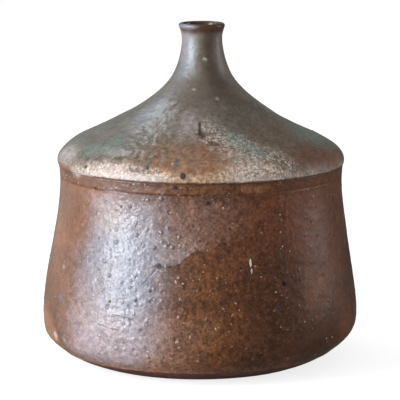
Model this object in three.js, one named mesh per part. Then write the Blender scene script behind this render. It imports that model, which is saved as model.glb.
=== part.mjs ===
// Bud vase in glazed stoneware: a wide drum, a sloping shoulder and a thin flared neck.
// It is laid out as the parts a potter throws, turns and joins with slip before firing.
// Millimetres, +Z up. The foot stands on z = 0 and the axis of the pot is the Z axis.

import * as THREE from 'three';

// Heights at which one thrown part meets the next, and the top of the lip
const FOOT_TOP = 5;
const BAND_BOTTOM = 79.8;
const SHOULDER_BOTTOM = 84.6;
const NECK_BOTTOM = 124;
const LIP_BOTTOM = 138.3;
const LIP_TOP = 144.7;

// Outer radii of the pot, from the foot to the lip
const CONTACT_RADIUS = 48.1;
const FOOT_TOP_RADIUS = 58.6;
const BELLY_BOTTOM_RADIUS = 59.3;
const BELLY_RADIUS = 68;
const WAIST_RADIUS = 60.65;
const SHOULDER_EDGE_RADIUS = 61.7;
const SHOULDER_BREAK_RADIUS = 50.5;
const NECK_ROOT_RADIUS = 11.9;
const NECK_RADIUS = 8.6;
const LIP_RADIUS = 9.9;

// Heights of the turning points between the joints
const BELLY_HEIGHT = 20.5;
const WAIST_HEIGHT = 77.5;
const SHOULDER_EDGE_HEIGHT = 86.5;
const SHOULDER_BREAK_HEIGHT = 96.8;

// Walls: the drum is thrown about 4.5 thick, and the neck thins to about 3
const BELLY_WALL = 4.6;
const WAIST_WALL = 4.3;
const FLOOR_THICKNESS = 6;
const FLOOR_RADIUS = 52;
const FLOOR_CLEARANCE = 0.3;
const RECESS_RADIUS = 40;
const BORE_ROOT_RADIUS = 6.5;
const BORE_RADIUS = 5.5;
const LIP_ROUNDING = 1.05;

// The fine line cut round the waist, half of it in each part, and the soft swell up to the luted edge
const CUT_LINE = 0.5;
const BAND_SWELL_HEIGHT = 82.4;
const EDGE_SOFTENING = 0.25;

// Flats round each turned part, and the distance under which two outline points are one
const DRUM_SIDES = 72;
const NECK_SIDES = 48;
const MERGE_DISTANCE = 1e-6;

const INSIDE_WAIST = WAIST_RADIUS - WAIST_WALL;
const INSIDE_BELLY = BELLY_RADIUS - BELLY_WALL;
const FLOOR_TOP = FOOT_TOP + FLOOR_THICKNESS;

function point(radius, height) {
  return new THREE.Vector2(radius, height);
}

// Points of a cubic curve between two ends, pulled by a handle at each of them
function sweep(start, startHandle, endHandle, end, steps) {
  return new THREE.CubicBezierCurve(start, startHandle, endHandle, end).getPoints(steps);
}

// Points of an arc round a centre, from one angle to another in degrees
function arc(centre, radius, fromDegrees, toDegrees, steps) {
  const points = [];
  for (let i = 0; i <= steps; i += 1) {
    const angle = THREE.MathUtils.degToRad(fromDegrees + ((toDegrees - fromDegrees) * i) / steps);
    points.push(point(centre.x + radius * Math.cos(angle), centre.y + radius * Math.sin(angle)));
  }
  return points;
}

// One closed outline from several runs of points, where a run may start on the last point of another
function closedOutline(...runs) {
  const points = runs.flat();
  const outline = [points[0]];
  for (const p of [...points.slice(1), points[0]]) {
    if (outline.at(-1).distanceTo(p) > MERGE_DISTANCE) outline.push(p.clone());
  }
  return outline;
}

// A part turned from its section. The section runs up the outside and down the inside, and either
// comes back to its start or begins and ends on the axis. The lathe turns about Y, the pot about Z.
function turned(name, section, sides, material) {
  const geometry = new THREE.LatheGeometry(section, sides);
  geometry.rotateX(Math.PI / 2);
  const mesh = new THREE.Mesh(geometry, material);
  mesh.name = name;
  return mesh;
}

function glaze(color, roughness) {
  return new THREE.MeshStandardMaterial({ color, roughness, metalness: 0 });
}

// The turned foot: a flat ring that the pot stands on, cut back under the belly
function footRing() {
  const section = closedOutline(
    [point(RECESS_RADIUS, 0)],
    sweep(
      point(CONTACT_RADIUS, 0),
      point(CONTACT_RADIUS + 4.5, 1.5),
      point(FOOT_TOP_RADIUS - 1.8, 3.3),
      point(FOOT_TOP_RADIUS, FOOT_TOP),
      5,
    ),
    [point(RECESS_RADIUS, FOOT_TOP)],
  );
  return turned('foot_ring', section, DRUM_SIDES, glaze(0x4a3029, 0.8));
}

// The bottom of the pot, a plain disc that lies on the foot ring
function floor() {
  const section = [
    point(0, FOOT_TOP),
    point(FLOOR_RADIUS, FOOT_TOP),
    point(FLOOR_RADIUS, FLOOR_TOP),
    point(0, FLOOR_TOP),
  ];
  return turned('floor', section, DRUM_SIDES, glaze(0x6a4a3a, 0.6));
}

// The drum: a rounded belly low down, drawn in towards the waist
function bodyWall() {
  const insideFoot = FLOOR_RADIUS + FLOOR_CLEARANCE;
  const section = closedOutline(
    [point(insideFoot, FOOT_TOP)],
    sweep(
      point(BELLY_BOTTOM_RADIUS, FOOT_TOP),
      point(BELLY_BOTTOM_RADIUS + 6.3, FOOT_TOP + 5.2),
      point(BELLY_RADIUS, BELLY_HEIGHT - 9.1),
      point(BELLY_RADIUS, BELLY_HEIGHT),
      7,
    ),
    sweep(
      point(BELLY_RADIUS, BELLY_HEIGHT),
      point(BELLY_RADIUS, BELLY_HEIGHT + 13.8),
      point(WAIST_RADIUS, WAIST_HEIGHT - 16.1),
      point(WAIST_RADIUS, WAIST_HEIGHT),
      9,
    ),
    [
      point(WAIST_RADIUS, BAND_BOTTOM - CUT_LINE),
      point(WAIST_RADIUS - CUT_LINE, BAND_BOTTOM),
    ],
    sweep(
      point(INSIDE_WAIST, BAND_BOTTOM),
      point(INSIDE_WAIST, BAND_BOTTOM - 18),
      point(INSIDE_BELLY, BELLY_HEIGHT + 15.5),
      point(INSIDE_BELLY, BELLY_HEIGHT + 3.5),
      6,
    ),
    sweep(
      point(INSIDE_BELLY, BELLY_HEIGHT + 3.5),
      point(INSIDE_BELLY, FLOOR_TOP + 4),
      point(insideFoot + 7, FLOOR_TOP),
      point(insideFoot, FLOOR_TOP),
      4,
    ),
  );
  return turned('body_wall', section, DRUM_SIDES, glaze(0x76513f, 0.35));
}

// The strip of clay that lutes the shoulder to the drum, swelling from the cut line to the edge
function seamBand() {
  const section = closedOutline([
    point(INSIDE_WAIST, BAND_BOTTOM),
    point(WAIST_RADIUS - CUT_LINE, BAND_BOTTOM),
    point(WAIST_RADIUS, BAND_BOTTOM + CUT_LINE),
    point(WAIST_RADIUS + EDGE_SOFTENING, BAND_SWELL_HEIGHT),
    point(SHOULDER_EDGE_RADIUS - 2 * EDGE_SOFTENING, SHOULDER_BOTTOM - EDGE_SOFTENING),
    point(SHOULDER_EDGE_RADIUS - 3 * EDGE_SOFTENING, SHOULDER_BOTTOM),
    point(INSIDE_WAIST, SHOULDER_BOTTOM),
  ]);
  return turned('seam_band', section, DRUM_SIDES, glaze(0x5e4033, 0.45));
}

// The shoulder: a rounded edge that stands a little proud, then a long hollow slope to the neck
function shoulder() {
  const insideBreak = point(SHOULDER_BREAK_RADIUS - 1.6, SHOULDER_BREAK_HEIGHT - 4);
  const section = closedOutline(
    [point(INSIDE_WAIST, SHOULDER_BOTTOM)],
    sweep(
      point(SHOULDER_EDGE_RADIUS - 2 * EDGE_SOFTENING, SHOULDER_BOTTOM),
      point(SHOULDER_EDGE_RADIUS - EDGE_SOFTENING / 2, SHOULDER_BOTTOM + EDGE_SOFTENING),
      point(SHOULDER_EDGE_RADIUS, SHOULDER_BOTTOM + 1),
      point(SHOULDER_EDGE_RADIUS, SHOULDER_EDGE_HEIGHT),
      3,
    ),
    sweep(
      point(SHOULDER_EDGE_RADIUS, SHOULDER_EDGE_HEIGHT),
      point(SHOULDER_EDGE_RADIUS, SHOULDER_EDGE_HEIGHT + 5.2),
      point(SHOULDER_BREAK_RADIUS + 0.5, SHOULDER_BREAK_HEIGHT - 0.2),
      point(SHOULDER_BREAK_RADIUS, SHOULDER_BREAK_HEIGHT),
      7,
    ),
    sweep(
      point(SHOULDER_BREAK_RADIUS, SHOULDER_BREAK_HEIGHT),
      point(SHOULDER_BREAK_RADIUS - 8.5, SHOULDER_BREAK_HEIGHT + 3.4),
      point(NECK_ROOT_RADIUS + 5.8, NECK_BOTTOM - 12.2),
      point(NECK_ROOT_RADIUS, NECK_BOTTOM),
      9,
    ),
    sweep(
      point(BORE_ROOT_RADIUS, NECK_BOTTOM),
      point(BORE_ROOT_RADIUS + 4, NECK_BOTTOM - 15.5),
      point(insideBreak.x - 9, insideBreak.y + 3.7),
      insideBreak,
      7,
    ),
    sweep(
      insideBreak,
      point(insideBreak.x + 4.5, insideBreak.y - 1.8),
      point(INSIDE_WAIST, SHOULDER_EDGE_HEIGHT + 2.8),
      point(INSIDE_WAIST, SHOULDER_EDGE_HEIGHT),
      3,
    ),
  );
  return turned('shoulder', section, DRUM_SIDES, glaze(0x8f7d74, 0.5));
}

// The neck, drawn up from the shoulder to its thinnest place
function neck() {
  const section = closedOutline(
    [point(BORE_ROOT_RADIUS, NECK_BOTTOM)],
    sweep(
      point(NECK_ROOT_RADIUS, NECK_BOTTOM),
      point(NECK_ROOT_RADIUS - 1.9, NECK_BOTTOM + 4),
      point(NECK_RADIUS, LIP_BOTTOM - 5),
      point(NECK_RADIUS, LIP_BOTTOM),
      7,
    ),
    sweep(
      point(BORE_RADIUS, LIP_BOTTOM),
      point(BORE_RADIUS, LIP_BOTTOM - 5.3),
      point(BORE_ROOT_RADIUS - 0.3, NECK_BOTTOM + 5),
      point(BORE_ROOT_RADIUS, NECK_BOTTOM),
      4,
    ),
  );
  return turned('neck', section, NECK_SIDES, glaze(0x7a6e68, 0.45));
}

// The lip, flared a little and rounded over
function lip() {
  const rounding = point(LIP_RADIUS - LIP_ROUNDING, LIP_TOP - LIP_ROUNDING);
  const section = closedOutline(
    [point(BORE_RADIUS, LIP_BOTTOM)],
    sweep(
      point(NECK_RADIUS, LIP_BOTTOM),
      point(NECK_RADIUS, LIP_BOTTOM + 1.9),
      point(LIP_RADIUS - 0.5, rounding.y - 1.5),
      point(LIP_RADIUS, rounding.y),
      5,
    ),
    arc(rounding, LIP_ROUNDING, 0, 180, 7),
    sweep(
      point(LIP_RADIUS - 2 * LIP_ROUNDING, rounding.y),
      point(LIP_RADIUS - 2 * LIP_ROUNDING, rounding.y - 1),
      point(BORE_RADIUS, LIP_BOTTOM + 2.7),
      point(BORE_RADIUS, LIP_BOTTOM),
      4,
    ),
  );
  return turned('lip', section, NECK_SIDES, glaze(0x5a443a, 0.35));
}

const vase = new THREE.Group();
vase.name = 'bud_vase';
vase.add(footRing(), floor(), bodyWall(), seamBand(), shoulder(), neck(), lip());

export default vase;
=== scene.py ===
"""Bud vase in glazed stoneware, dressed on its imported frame.

Each turned part is lathed by Geometry Nodes from a section, with the marks of throwing and the
orange peel of the glaze in its surface. Grit, slivers and iron beads are set in the glaze.
Lengths are in metres. A table whose name ends in _MM has its heights and widths in millimetres,
and every angle is in degrees round from the front, positive to the right. The front of the pot
is towards -Y, and +Z is up.
"""

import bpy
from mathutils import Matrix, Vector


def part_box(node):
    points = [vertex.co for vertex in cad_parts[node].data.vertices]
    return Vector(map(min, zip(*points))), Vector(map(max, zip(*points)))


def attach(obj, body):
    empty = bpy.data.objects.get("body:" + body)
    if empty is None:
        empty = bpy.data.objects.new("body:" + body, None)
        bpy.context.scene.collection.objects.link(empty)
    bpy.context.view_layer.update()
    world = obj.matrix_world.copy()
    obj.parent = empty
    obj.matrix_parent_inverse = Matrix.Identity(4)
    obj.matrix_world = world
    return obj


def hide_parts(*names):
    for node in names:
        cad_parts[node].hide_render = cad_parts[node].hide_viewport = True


bl_info = {
    "name": "Bud vase",
    "version": (1, 0, 0),
    "blender": (4, 5, 0),
    "location": "3D View > Sidebar > Bud vase",
    "description": "Dresses a thrown stoneware bud vase in its glazes and sets it on a pale floor",
    "category": "Add Mesh",
}

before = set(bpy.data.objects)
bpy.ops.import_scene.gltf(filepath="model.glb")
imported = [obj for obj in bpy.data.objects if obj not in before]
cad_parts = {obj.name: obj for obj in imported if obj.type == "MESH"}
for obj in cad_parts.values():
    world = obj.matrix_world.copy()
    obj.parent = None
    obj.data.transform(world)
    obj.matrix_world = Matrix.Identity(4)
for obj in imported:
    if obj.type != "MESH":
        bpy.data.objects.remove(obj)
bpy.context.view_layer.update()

import math
import random

import bpy
from bpy.props import FloatProperty, FloatVectorProperty, IntProperty, PointerProperty
from mathutils import Vector
from mathutils.bvhtree import BVHTree

MM = 0.001
BODY = "root"
WHITE = (1.0, 1.0, 1.0, 1.0)


def top_of(node):
    """Height of a frame node's upper face."""
    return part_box(node)[1].z


def radius_of(node):
    """Largest radius of a frame node."""
    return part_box(node)[1].x


FOOT_TOP = top_of("foot_ring")
FLOOR_TOP = top_of("floor")
BAND_BOTTOM = top_of("body_wall")
SHOULDER_BOTTOM = top_of("seam_band")
NECK_BOTTOM = top_of("shoulder")
LIP_BOTTOM = top_of("neck")
VASE_TOP = top_of("lip")


def paint(red, green, blue):
    """Scene colour of a swatch read as 0 to 255 on a screen."""

    def linear(value):
        share = value / 255
        return share / 12.92 if share <= 0.04045 else ((share + 0.055) / 1.055) ** 2.4

    return (linear(red), linear(green), linear(blue))


def length_property(name, description, default):
    """A size that a user may change, in metres."""
    return FloatProperty(name=name, description=description, default=default, unit="LENGTH")


def power_property(name, description, default):
    """The power of a lamp, in watts."""
    return FloatProperty(name=name, description=description, default=default, unit="POWER")


def level_property(name, description, default, most=10):
    """A plain share or level from 0 up."""
    return FloatProperty(name=name, description=description, default=default, min=0, max=most)


def colour_property(name, description, swatch):
    """A glaze or clay colour that a user may change."""
    return FloatVectorProperty(
        name=name, description=description, default=paint(*swatch), subtype="COLOR", min=0, max=1
    )


# Sizes and colours that a user may change


class VaseForm(bpy.types.PropertyGroup):
    """Sizes of the turned sections that the frame's boxes don't give."""

    contact_radius: length_property("Contact", "Outer radius of the flat that stands", 48.1 * MM)
    recess_radius: length_property("Recess", "Radius of the hollow under the floor", 40 * MM)
    floor_radius: length_property("Floor", "Radius of the floor disc", 52 * MM)
    floor_clearance: length_property("Floor gap", "Slip joint between floor and drum", 0.3 * MM)
    belly_bottom: length_property("Belly bottom", "Radius of the drum just above the foot", 59.3 * MM)
    belly_height: length_property("Belly height", "Height of the widest place", 20.5 * MM)
    waist_radius: length_property("Waist", "Radius of the drum at the waist", 60.65 * MM)
    waist_height: length_property("Waist height", "Height at which the drum stops drawing in", 77.5 * MM)
    edge_height: length_property("Edge height", "Height of the shoulder's widest place", 86.5 * MM)
    break_radius: length_property("Break radius", "Radius where the shoulder starts to slope", 50.5 * MM)
    break_height: length_property("Break height", "Height where the shoulder starts to slope", 96.8 * MM)
    neck_radius: length_property("Neck", "Thinnest radius of the neck", 8.6 * MM)
    belly_wall: length_property("Belly wall", "Thickness of the wall at the belly", 4.6 * MM)
    waist_wall: length_property("Waist wall", "Thickness of the wall at the waist", 4.3 * MM)
    bore_root: length_property("Bore root", "Inner radius at the foot of the neck", 6.5 * MM)
    bore_radius: length_property("Bore", "Inner radius of the neck", 5.5 * MM)
    lip_rounding: length_property("Lip rounding", "Radius of the rolled lip", 1.05 * MM)
    cut_line: length_property("Cut line", "Depth of the line cut round the waist", 0.5 * MM)
    columns: IntProperty(name="Columns", description="Faces round the pot", default=560, min=48)
    neck_columns: IntProperty(name="Neck columns", description="Faces round the neck", default=220, min=24)
    fine_row: length_property("Fine rows", "Height of a row of faces on the outside", 0.56 * MM)
    plain_row: length_property("Plain rows", "Height of a row of faces on the inside", 7 * MM)


class VaseSurface(bpy.types.PropertyGroup):
    """Relief that throwing and firing leave in the surface."""

    swell_depth: length_property("Swell", "Slow unevenness of the thrown wall", 0.3 * MM)
    swell_size: length_property("Swell size", "Distance between slow swells", 30 * MM)
    ring_depth: length_property("Ring depth", "Height of the throwing rings", 0.018 * MM)
    ring_pitch: length_property("Ring pitch", "Climb of the throwing rings in a turn", 5.2 * MM)
    peel_depth: length_property("Peel depth", "Depth of the glaze's orange peel", 0.2 * MM)
    peel_size: length_property("Peel size", "Distance between dimples", 3.6 * MM)
    lump_height: length_property("Lump height", "Height of grit under the glaze", 0.24 * MM)
    lump_size: length_property("Lump spacing", "Distance between lumps of grit", 5.5 * MM)
    seed: IntProperty(name="Seed", description="Seed of the relief and of the grit", default=7, min=0)


class VaseGlaze(bpy.types.PropertyGroup):
    """Colours and gloss of the glazes and the clay."""

    iron_warm: colour_property("Iron warm", "Thin iron glaze where it burned warm", (123, 74, 43))
    iron_dark: colour_property("Iron dark", "Iron glaze where it lies thicker", (82, 49, 30))
    iron_red: colour_property("Iron red", "Iron glaze where it burned red", (115, 66, 44))
    iron_rust: colour_property("Rust", "Small rusty flecks in the iron glaze", (140, 87, 52))
    film_pink: colour_property("Pink film", "Pinkish film over the left of the drum", (167, 136, 125))
    # Lilac film: partly the glaze's own cool film, partly a painted highlight where the window shines, on
    # the drum, the neck, the shoulder and the lip
    lilac_film_and_highlight: colour_property("Lilac film", "Cool film where the window shines", (166, 174, 193))
    # Pale film: partly a pinkish white film, partly a painted sheen low at the left of the drum and in the
    # neck's highlight
    pale_film_and_sheen: colour_property("Pale film", "Pinkish white film low at the left", (194, 174, 177))
    cream: colour_property("Cream", "Patch of cream ash on the drum", (206, 186, 168))
    blue_grey: colour_property("Blue grey", "Cool spots in the film", (112, 108, 116))
    # Orange tan of the glaze edge over the foot, also painted as bounce light low on the front of the belly
    orange_tan_and_bounce: colour_property("Low edge", "Bright glaze edge above the foot", (168, 118, 88))
    # Darkest brown: the dark marks, and painted shade under the shoulder's edge, in wrinkles and in craters
    dark_mark_and_shade: colour_property("Shade line", "Darkest brown, where glaze gathered", (58, 38, 28))
    grit: colour_property("Grit", "Pale feldspar that breaks through", (192, 154, 128))
    pit: colour_property("Pit", "Black pit at the right", (22, 16, 16))
    iron_bead: colour_property("Iron bead", "Melted specks of iron", (58, 50, 50))
    ash_grey: colour_property("Ash grey", "Main colour of the ash glaze", (136, 125, 112))
    ash_mauve: colour_property("Ash mauve", "Cooler blotches of the ash glaze", (133, 120, 117))
    ash_olive: colour_property("Ash olive", "Ash glaze where it lies thin", (102, 93, 78))
    ash_green: colour_property("Ash green", "Ash glaze where it pooled green", (118, 134, 122))
    ash_pale: colour_property("Ash pale", "Crystals of ash along the shoulder's edge", (228, 214, 202))
    # Ash white: pale ash, and on the shoulder's edge at the left of the front partly a painted highlight
    ash_white: colour_property("Ash white", "Smooth pale line on the shoulder's edge", (214, 196, 190))
    ash_blush: colour_property("Ash blush", "Pinkish glaze under the crystals", (188, 144, 118))
    ash_gold: colour_property("Ash gold", "Golden crystals at the middle of the front", (236, 204, 158))
    ash_tan: colour_property("Ash tan", "Orange ash at the middle of the front", (157, 109, 78))
    ash_red: colour_property("Ash red", "Reddish break in the ash glaze", (131, 86, 65))
    ash_brown: colour_property("Ash brown", "Brown breaks in the ash glaze", (113, 91, 71))
    ash_stain: colour_property("Ash stain", "Dark brown stains on the left of the shoulder", (88, 73, 56))
    ash_slate: colour_property("Ash slate", "Slate-coloured smudges by the edge", (96, 92, 92))
    neck_brown: colour_property("Neck brown", "Brown of the neck at the middle of the front", (86, 71, 58))
    lip_brown: colour_property("Lip brown", "Iron glaze under the lip", (85, 57, 41))
    bare_clay: colour_property("Bare clay", "Unglazed toasted foot", (118, 68, 60))
    roughness: level_property("Roughness", "Roughness of the glaze where it is glossiest", 0.2, 1)


class VaseStage(bpy.types.PropertyGroup):
    """Camera and light."""

    camera_distance: length_property("Camera distance", "From the pot's middle to the camera", 1.059)
    camera_elevation: FloatProperty(
        name="Camera elevation",
        description="Height of the camera above the horizon",
        default=math.radians(9.6),
        subtype="ANGLE",
    )
    aim_height: length_property("Aim height", "Height on the axis that the camera looks at", 67.9 * MM)
    lens: FloatProperty(name="Lens", description="Focal length of the lens", default=220.5, unit="CAMERA")
    window_power: power_property("Window", "Power of the window light", 14)
    glow_power: power_property("Window glow", "Power of the haze round the window", 10)
    high_power: power_property("High window", "Power of the high back light", 1.35)
    side_power: power_property("Side light", "Power of the dim side light", 2.8)
    daylight: colour_property("Daylight", "Colour of the light at the left", (237, 248, 255))
    room_level: level_property("Room level", "Brightness of the room", 0.4)
    window_pool: level_property("Window pool", "Brightness of the mirrored floor at the left", 3.3)


# Geometry Nodes and shader graphs


class Graph:
    """Adds nodes to a tree, and links them as plain calls."""

    def __init__(self, tree):
        self.tree = tree

    def node(self, kind, inputs=None, **settings):
        """A new node with its settings and its inputs, which are sockets or values."""
        made = self.tree.nodes.new(kind)
        for key, value in settings.items():
            setattr(made, key, value)
        for key, value in (inputs or {}).items():
            if isinstance(value, bpy.types.NodeSocket):
                self.tree.links.new(value, made.inputs[key])
            else:
                made.inputs[key].default_value = value
        return made

    def math(self, operation, first, second=0.0, clamp=False):
        """One sum of two numbers."""
        inputs = {0: first, 1: second}
        return self.node("ShaderNodeMath", inputs, operation=operation, use_clamp=clamp).outputs[0]

    def chain(self, operation, values, clamp=False):
        """Several numbers taken together from the left."""
        total = values[0]
        for value in values[1:]:
            total = self.math(operation, total, value, clamp)
        return total

    def plus(self, *terms, clamp=False):
        """The sum of several numbers."""
        return self.chain("ADD", terms, clamp)

    def minus(self, first, second):
        """One number less another."""
        return self.math("SUBTRACT", first, second)

    def times(self, *factors):
        """The product of several numbers or masks."""
        return self.chain("MULTIPLY", factors)

    def ratio(self, first, second):
        """One number divided by another."""
        return self.math("DIVIDE", first, second)

    def most(self, *masks):
        """The largest of several masks."""
        return self.chain("MAXIMUM", masks)

    def vector(self, operation, first, second=(0, 0, 0)):
        """One sum of two vectors. A scale takes a number as its second."""
        inputs = {0: first, "Scale" if operation == "SCALE" else 1: second}
        return self.node("ShaderNodeVectorMath", inputs, operation=operation).outputs[0]

    def parts(self, vector):
        """The three parts of a vector."""
        return self.node("ShaderNodeSeparateXYZ", {0: vector}).outputs

    def combined(self, *parts):
        """A vector of up to three parts."""
        return self.node("ShaderNodeCombineXYZ", dict(enumerate(parts))).outputs[0]

    def object_place(self):
        """The place on the object, in metres."""
        return self.node("ShaderNodeTexCoord").outputs["Object"]

    def step(self, value, low, high, start=0.0, end=1.0):
        """A smooth step from one value to another as a number passes from low to high."""
        inputs = {"Value": value, "From Min": low, "From Max": high, "To Min": start, "To Max": end}
        return self.node("ShaderNodeMapRange", inputs, interpolation_type="SMOOTHSTEP").outputs[0]

    def scale(self, size):
        """A texture's scale for a size, which is a number or a socket."""
        return self.ratio(1.0, size) if isinstance(size, bpy.types.NodeSocket) else 1 / size

    def noise(self, place, size, detail, roughness, seed):
        """Cloudy noise from 0 to 1, with features about as far apart as size."""
        inputs = {"Vector": place, "W": seed, "Scale": self.scale(size)}
        inputs |= {"Detail": detail, "Roughness": roughness}
        return self.node("ShaderNodeTexNoise", inputs, noise_dimensions="4D").outputs[0]

    def cells(self, place, size, seed):
        """Distance to the nearest of scattered points, and a random number for each point."""
        inputs = {"Vector": place, "W": seed, "Scale": self.scale(size), "Randomness": 1.0}
        made = self.node("ShaderNodeTexVoronoi", inputs, voronoi_dimensions="4D")
        return made.outputs["Distance"], self.parts(made.outputs["Color"])[0]

    def curve(self, value, points):
        """A smooth curve through (input, output) points."""
        xs, ys = zip(*points)
        span = max(ys) - min(ys)
        ends = {"Value": value, "From Min": xs[0], "From Max": xs[-1]}
        share = self.node("ShaderNodeMapRange", ends).outputs[0]
        made = self.node("ShaderNodeFloatCurve", {"Factor": 1.0, "Value": share})
        knots = made.mapping.curves[0].points
        while len(knots) < len(points):
            knots.new(0.5, 0.5)
        for knot, (x, y) in zip(knots, points):
            knot.location = ((x - xs[0]) / (xs[-1] - xs[0]), (y - min(ys)) / span)
        made.mapping.update()
        return self.plus(self.times(made.outputs[0], span), min(ys))

    def mix(self, share, first, second):
        """One colour mixed over another."""
        inputs = {"Factor": share, 6: first, 7: second}
        return self.node("ShaderNodeMix", inputs, data_type="RGBA", blend_type="MIX").outputs[2]

    def white_glow(self, level):
        """White light of that level."""
        return self.node("ShaderNodeEmission", {"Color": WHITE, "Strength": level}).outputs[0]

    def close(self, surface):
        """Ends a material in its surface."""
        self.node("ShaderNodeOutputMaterial", {"Surface": surface})


def empty_material(name):
    """A new material with an empty node tree."""
    material = bpy.data.materials.new(name)
    material.use_nodes = True
    material.node_tree.nodes.clear()
    return material


def rgba(colour):
    """A colour property as a socket's value."""
    return (*colour, 1.0)


def new_tree(name, *inputs):
    """A Geometry Nodes tree with inputs, each as (name, kind) or (name, kind, default)."""
    tree = bpy.data.node_groups.new(name, "GeometryNodeTree")
    tree.interface.new_socket(name="Geometry", in_out="OUTPUT", socket_type="NodeSocketGeometry")
    for label, kind, *default in inputs:
        socket = tree.interface.new_socket(name=label, in_out="INPUT", socket_type="NodeSocket" + kind)
        if default:
            socket.default_value = default[0]
    return tree


def end_tree(g, geometry, glaze):
    """Ends a tree: the piece is made smooth, real and glazed."""
    smooth = g.node("GeometryNodeSetShadeSmooth", {"Geometry": geometry})
    real = g.node("GeometryNodeRealizeInstances", {"Geometry": smooth.outputs[0]})
    glazed = g.node("GeometryNodeSetMaterial", {"Geometry": real.outputs[0], "Material": glaze})
    g.node("NodeGroupOutput", {0: glazed.outputs[0]})


def set_input(modifier, name, value):
    """Sets a modifier's input by its socket's identifier."""
    for item in modifier.node_group.interface.items_tree:
        if item.item_type == "SOCKET" and item.in_out == "INPUT" and item.name == name:
            modifier[item.identifier] = value
            return
    raise KeyError(name)


# Sideways lean of the thrown pot, as (share of the height, millimetres towards +X)
LEAN_MM = (
    (0.0, -0.6), (0.05, -0.85), (0.12, 0.0), (0.3, 0.1), (0.5, 0.5),
    (0.63, 0.25), (0.685, -0.6), (0.74, 0.3), (0.82, 1.0), (1.0, 0.7),
)
# How coarse the surface is round the pot, as (angle, share). The glaze lies thicker at the sides
COARSE_SHARE = (
    (-180, 1.0), (-115, 0.8), (-85, 0.4), (-58, 0.5), (-40, 1.25), (-16, 1.5), (2, 1.1), (30, 0.95),
    (50, 0.5), (88, 0.4), (120, 0.8), (180, 1.0),
)
# Depth of the cut line round the pot, as (angle, share). Slip and glaze filled it at both sides
CUT_SHARE = (
    (-180, 1.0), (-110, 0.9), (-88, 0.1), (-54, 0.1), (-46, 0.9), (-6, 0.9), (8, 0.3), (115, 0.25),
    (135, 1.0), (180, 1.0),
)
# Distance between the places where the throwing rings show
RING_PATCH = 18 * MM
# Points nearer than this become one
MERGE_DISTANCE = 0.004 * MM
# Distance between bumps in the outline of a grain
GRAIN_WANDER = 0.9 * MM
# Inputs of the turned tree that come from the surface settings of the same names
SURFACE_INPUTS = (
    "Swell depth", "Swell size", "Ring depth", "Ring pitch",
    "Peel depth", "Peel size", "Lump height", "Lump size",
)


def turned_tree():
    """Geometry Nodes that turn a section into a part and press the marks of making into it."""
    lengths = [(name, "Float", MM) for name in (*SURFACE_INPUTS, "Cut line", "Height")]
    counts = [("Section points", "Int", 2), ("Columns", "Int", 48)]
    last = [("Seed", "Float", 0.0), ("Glaze", "Material")]
    tree = new_tree("turned_part", ("Section", "Geometry"), *counts, *lengths, *last)
    g = Graph(tree)
    given = g.node("NodeGroupInput").outputs

    # A flat grid with one row of points for each column, laid on the section by its index
    across = g.plus(given["Columns"], 1)
    grid = g.node("GeometryNodeMeshGrid", {"Vertices X": across, "Vertices Y": given["Section points"]})
    index = g.node("GeometryNodeInputIndex").outputs[0]
    column = g.math("FLOOR", g.ratio(g.plus(index, 0.5), given["Section points"]))
    row = g.minus(index, g.times(column, given["Section points"]))

    def from_section(value, kind):
        inputs = {"Geometry": given["Section"], "Value": value, "Index": row}
        return g.node("GeometryNodeSampleIndex", inputs, data_type=kind, domain="POINT").outputs[0]

    def from_attribute(name, kind):
        named = g.node("GeometryNodeInputNamedAttribute", {"Name": name}, data_type=kind)
        return from_section(named.outputs[0], kind)

    place = from_section(g.node("GeometryNodeInputPosition").outputs[0], "FLOAT_VECTOR")
    facing_out = from_attribute("outward", "FLOAT_VECTOR")
    relief = from_attribute("relief", "FLOAT")
    cut = from_attribute("cut", "FLOAT")

    # Round the axis, starting at the back
    turn = g.times(g.ratio(column, given["Columns"]), math.tau)
    way_x = g.math("SINE", turn)
    way_y = g.math("COSINE", turn)
    radius, _, height = g.parts(place)
    out_radius, _, out_height = g.parts(facing_out)

    def around(along_radius, along_height):
        return g.combined(g.times(way_x, along_radius), g.times(way_y, along_radius), along_height)

    angle = g.minus(180.0, g.times(turn, 180 / math.pi))
    filled = g.minus(1.0, g.curve(angle, CUT_SHARE))
    shut = g.times(filled, g.times(cut, given["Cut line"]))
    base = around(g.plus(radius, shut), height)
    normal = around(out_radius, out_height)

    # Relief: slow swells, throwing rings that climb as a spiral, orange peel, and grit under the glaze
    seed = given["Seed"]
    swell = g.minus(g.noise(base, given["Swell size"], 1.0, 0.5, seed), 0.5)
    swell = g.times(swell, 2.0, given["Swell depth"])
    climb = g.minus(g.ratio(height, given["Ring pitch"]), g.ratio(turn, math.tau))
    patchy = g.step(g.noise(base, RING_PATCH, 1.0, 0.5, seed), 0.35, 0.65, 0.2, 1.0)
    rings = g.times(g.math("SINE", g.times(climb, math.tau)), patchy, given["Ring depth"])
    peel = g.minus(g.noise(base, given["Peel size"], 2.0, 0.55, g.plus(seed, 3.0)), 0.5)
    peel = g.times(peel, 2.0, given["Peel depth"])
    near, picked = g.cells(base, given["Lump size"], seed)
    lumps = g.times(g.step(near, 0.05, 0.22, 1.0, 0.0), g.step(picked, 0.45, 0.75), given["Lump height"])
    coarse = g.times(g.plus(peel, lumps), g.curve(angle, COARSE_SHARE))
    raised = g.plus(g.plus(swell, rings), coarse)
    pushed = g.vector("SCALE", normal, g.times(raised, relief))

    # The whole pot leans a little, by an amount that changes with the height
    share = g.ratio(height, given["Height"])
    aside = g.combined(g.times(g.curve(share, LEAN_MM), MM))

    final = g.vector("ADD", g.vector("ADD", base, pushed), aside)
    shaped = g.node("GeometryNodeSetPosition", {"Geometry": grid.outputs[0], "Position": final})
    doubled = {"Geometry": shaped.outputs[0], "Distance": MERGE_DISTANCE}
    closed = g.node("GeometryNodeMergeByDistance", doubled)
    outward = g.node("GeometryNodeFlipFaces", {"Mesh": closed.outputs[0]})
    end_tree(g, outward.outputs[0], given["Glaze"])
    return tree


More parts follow.
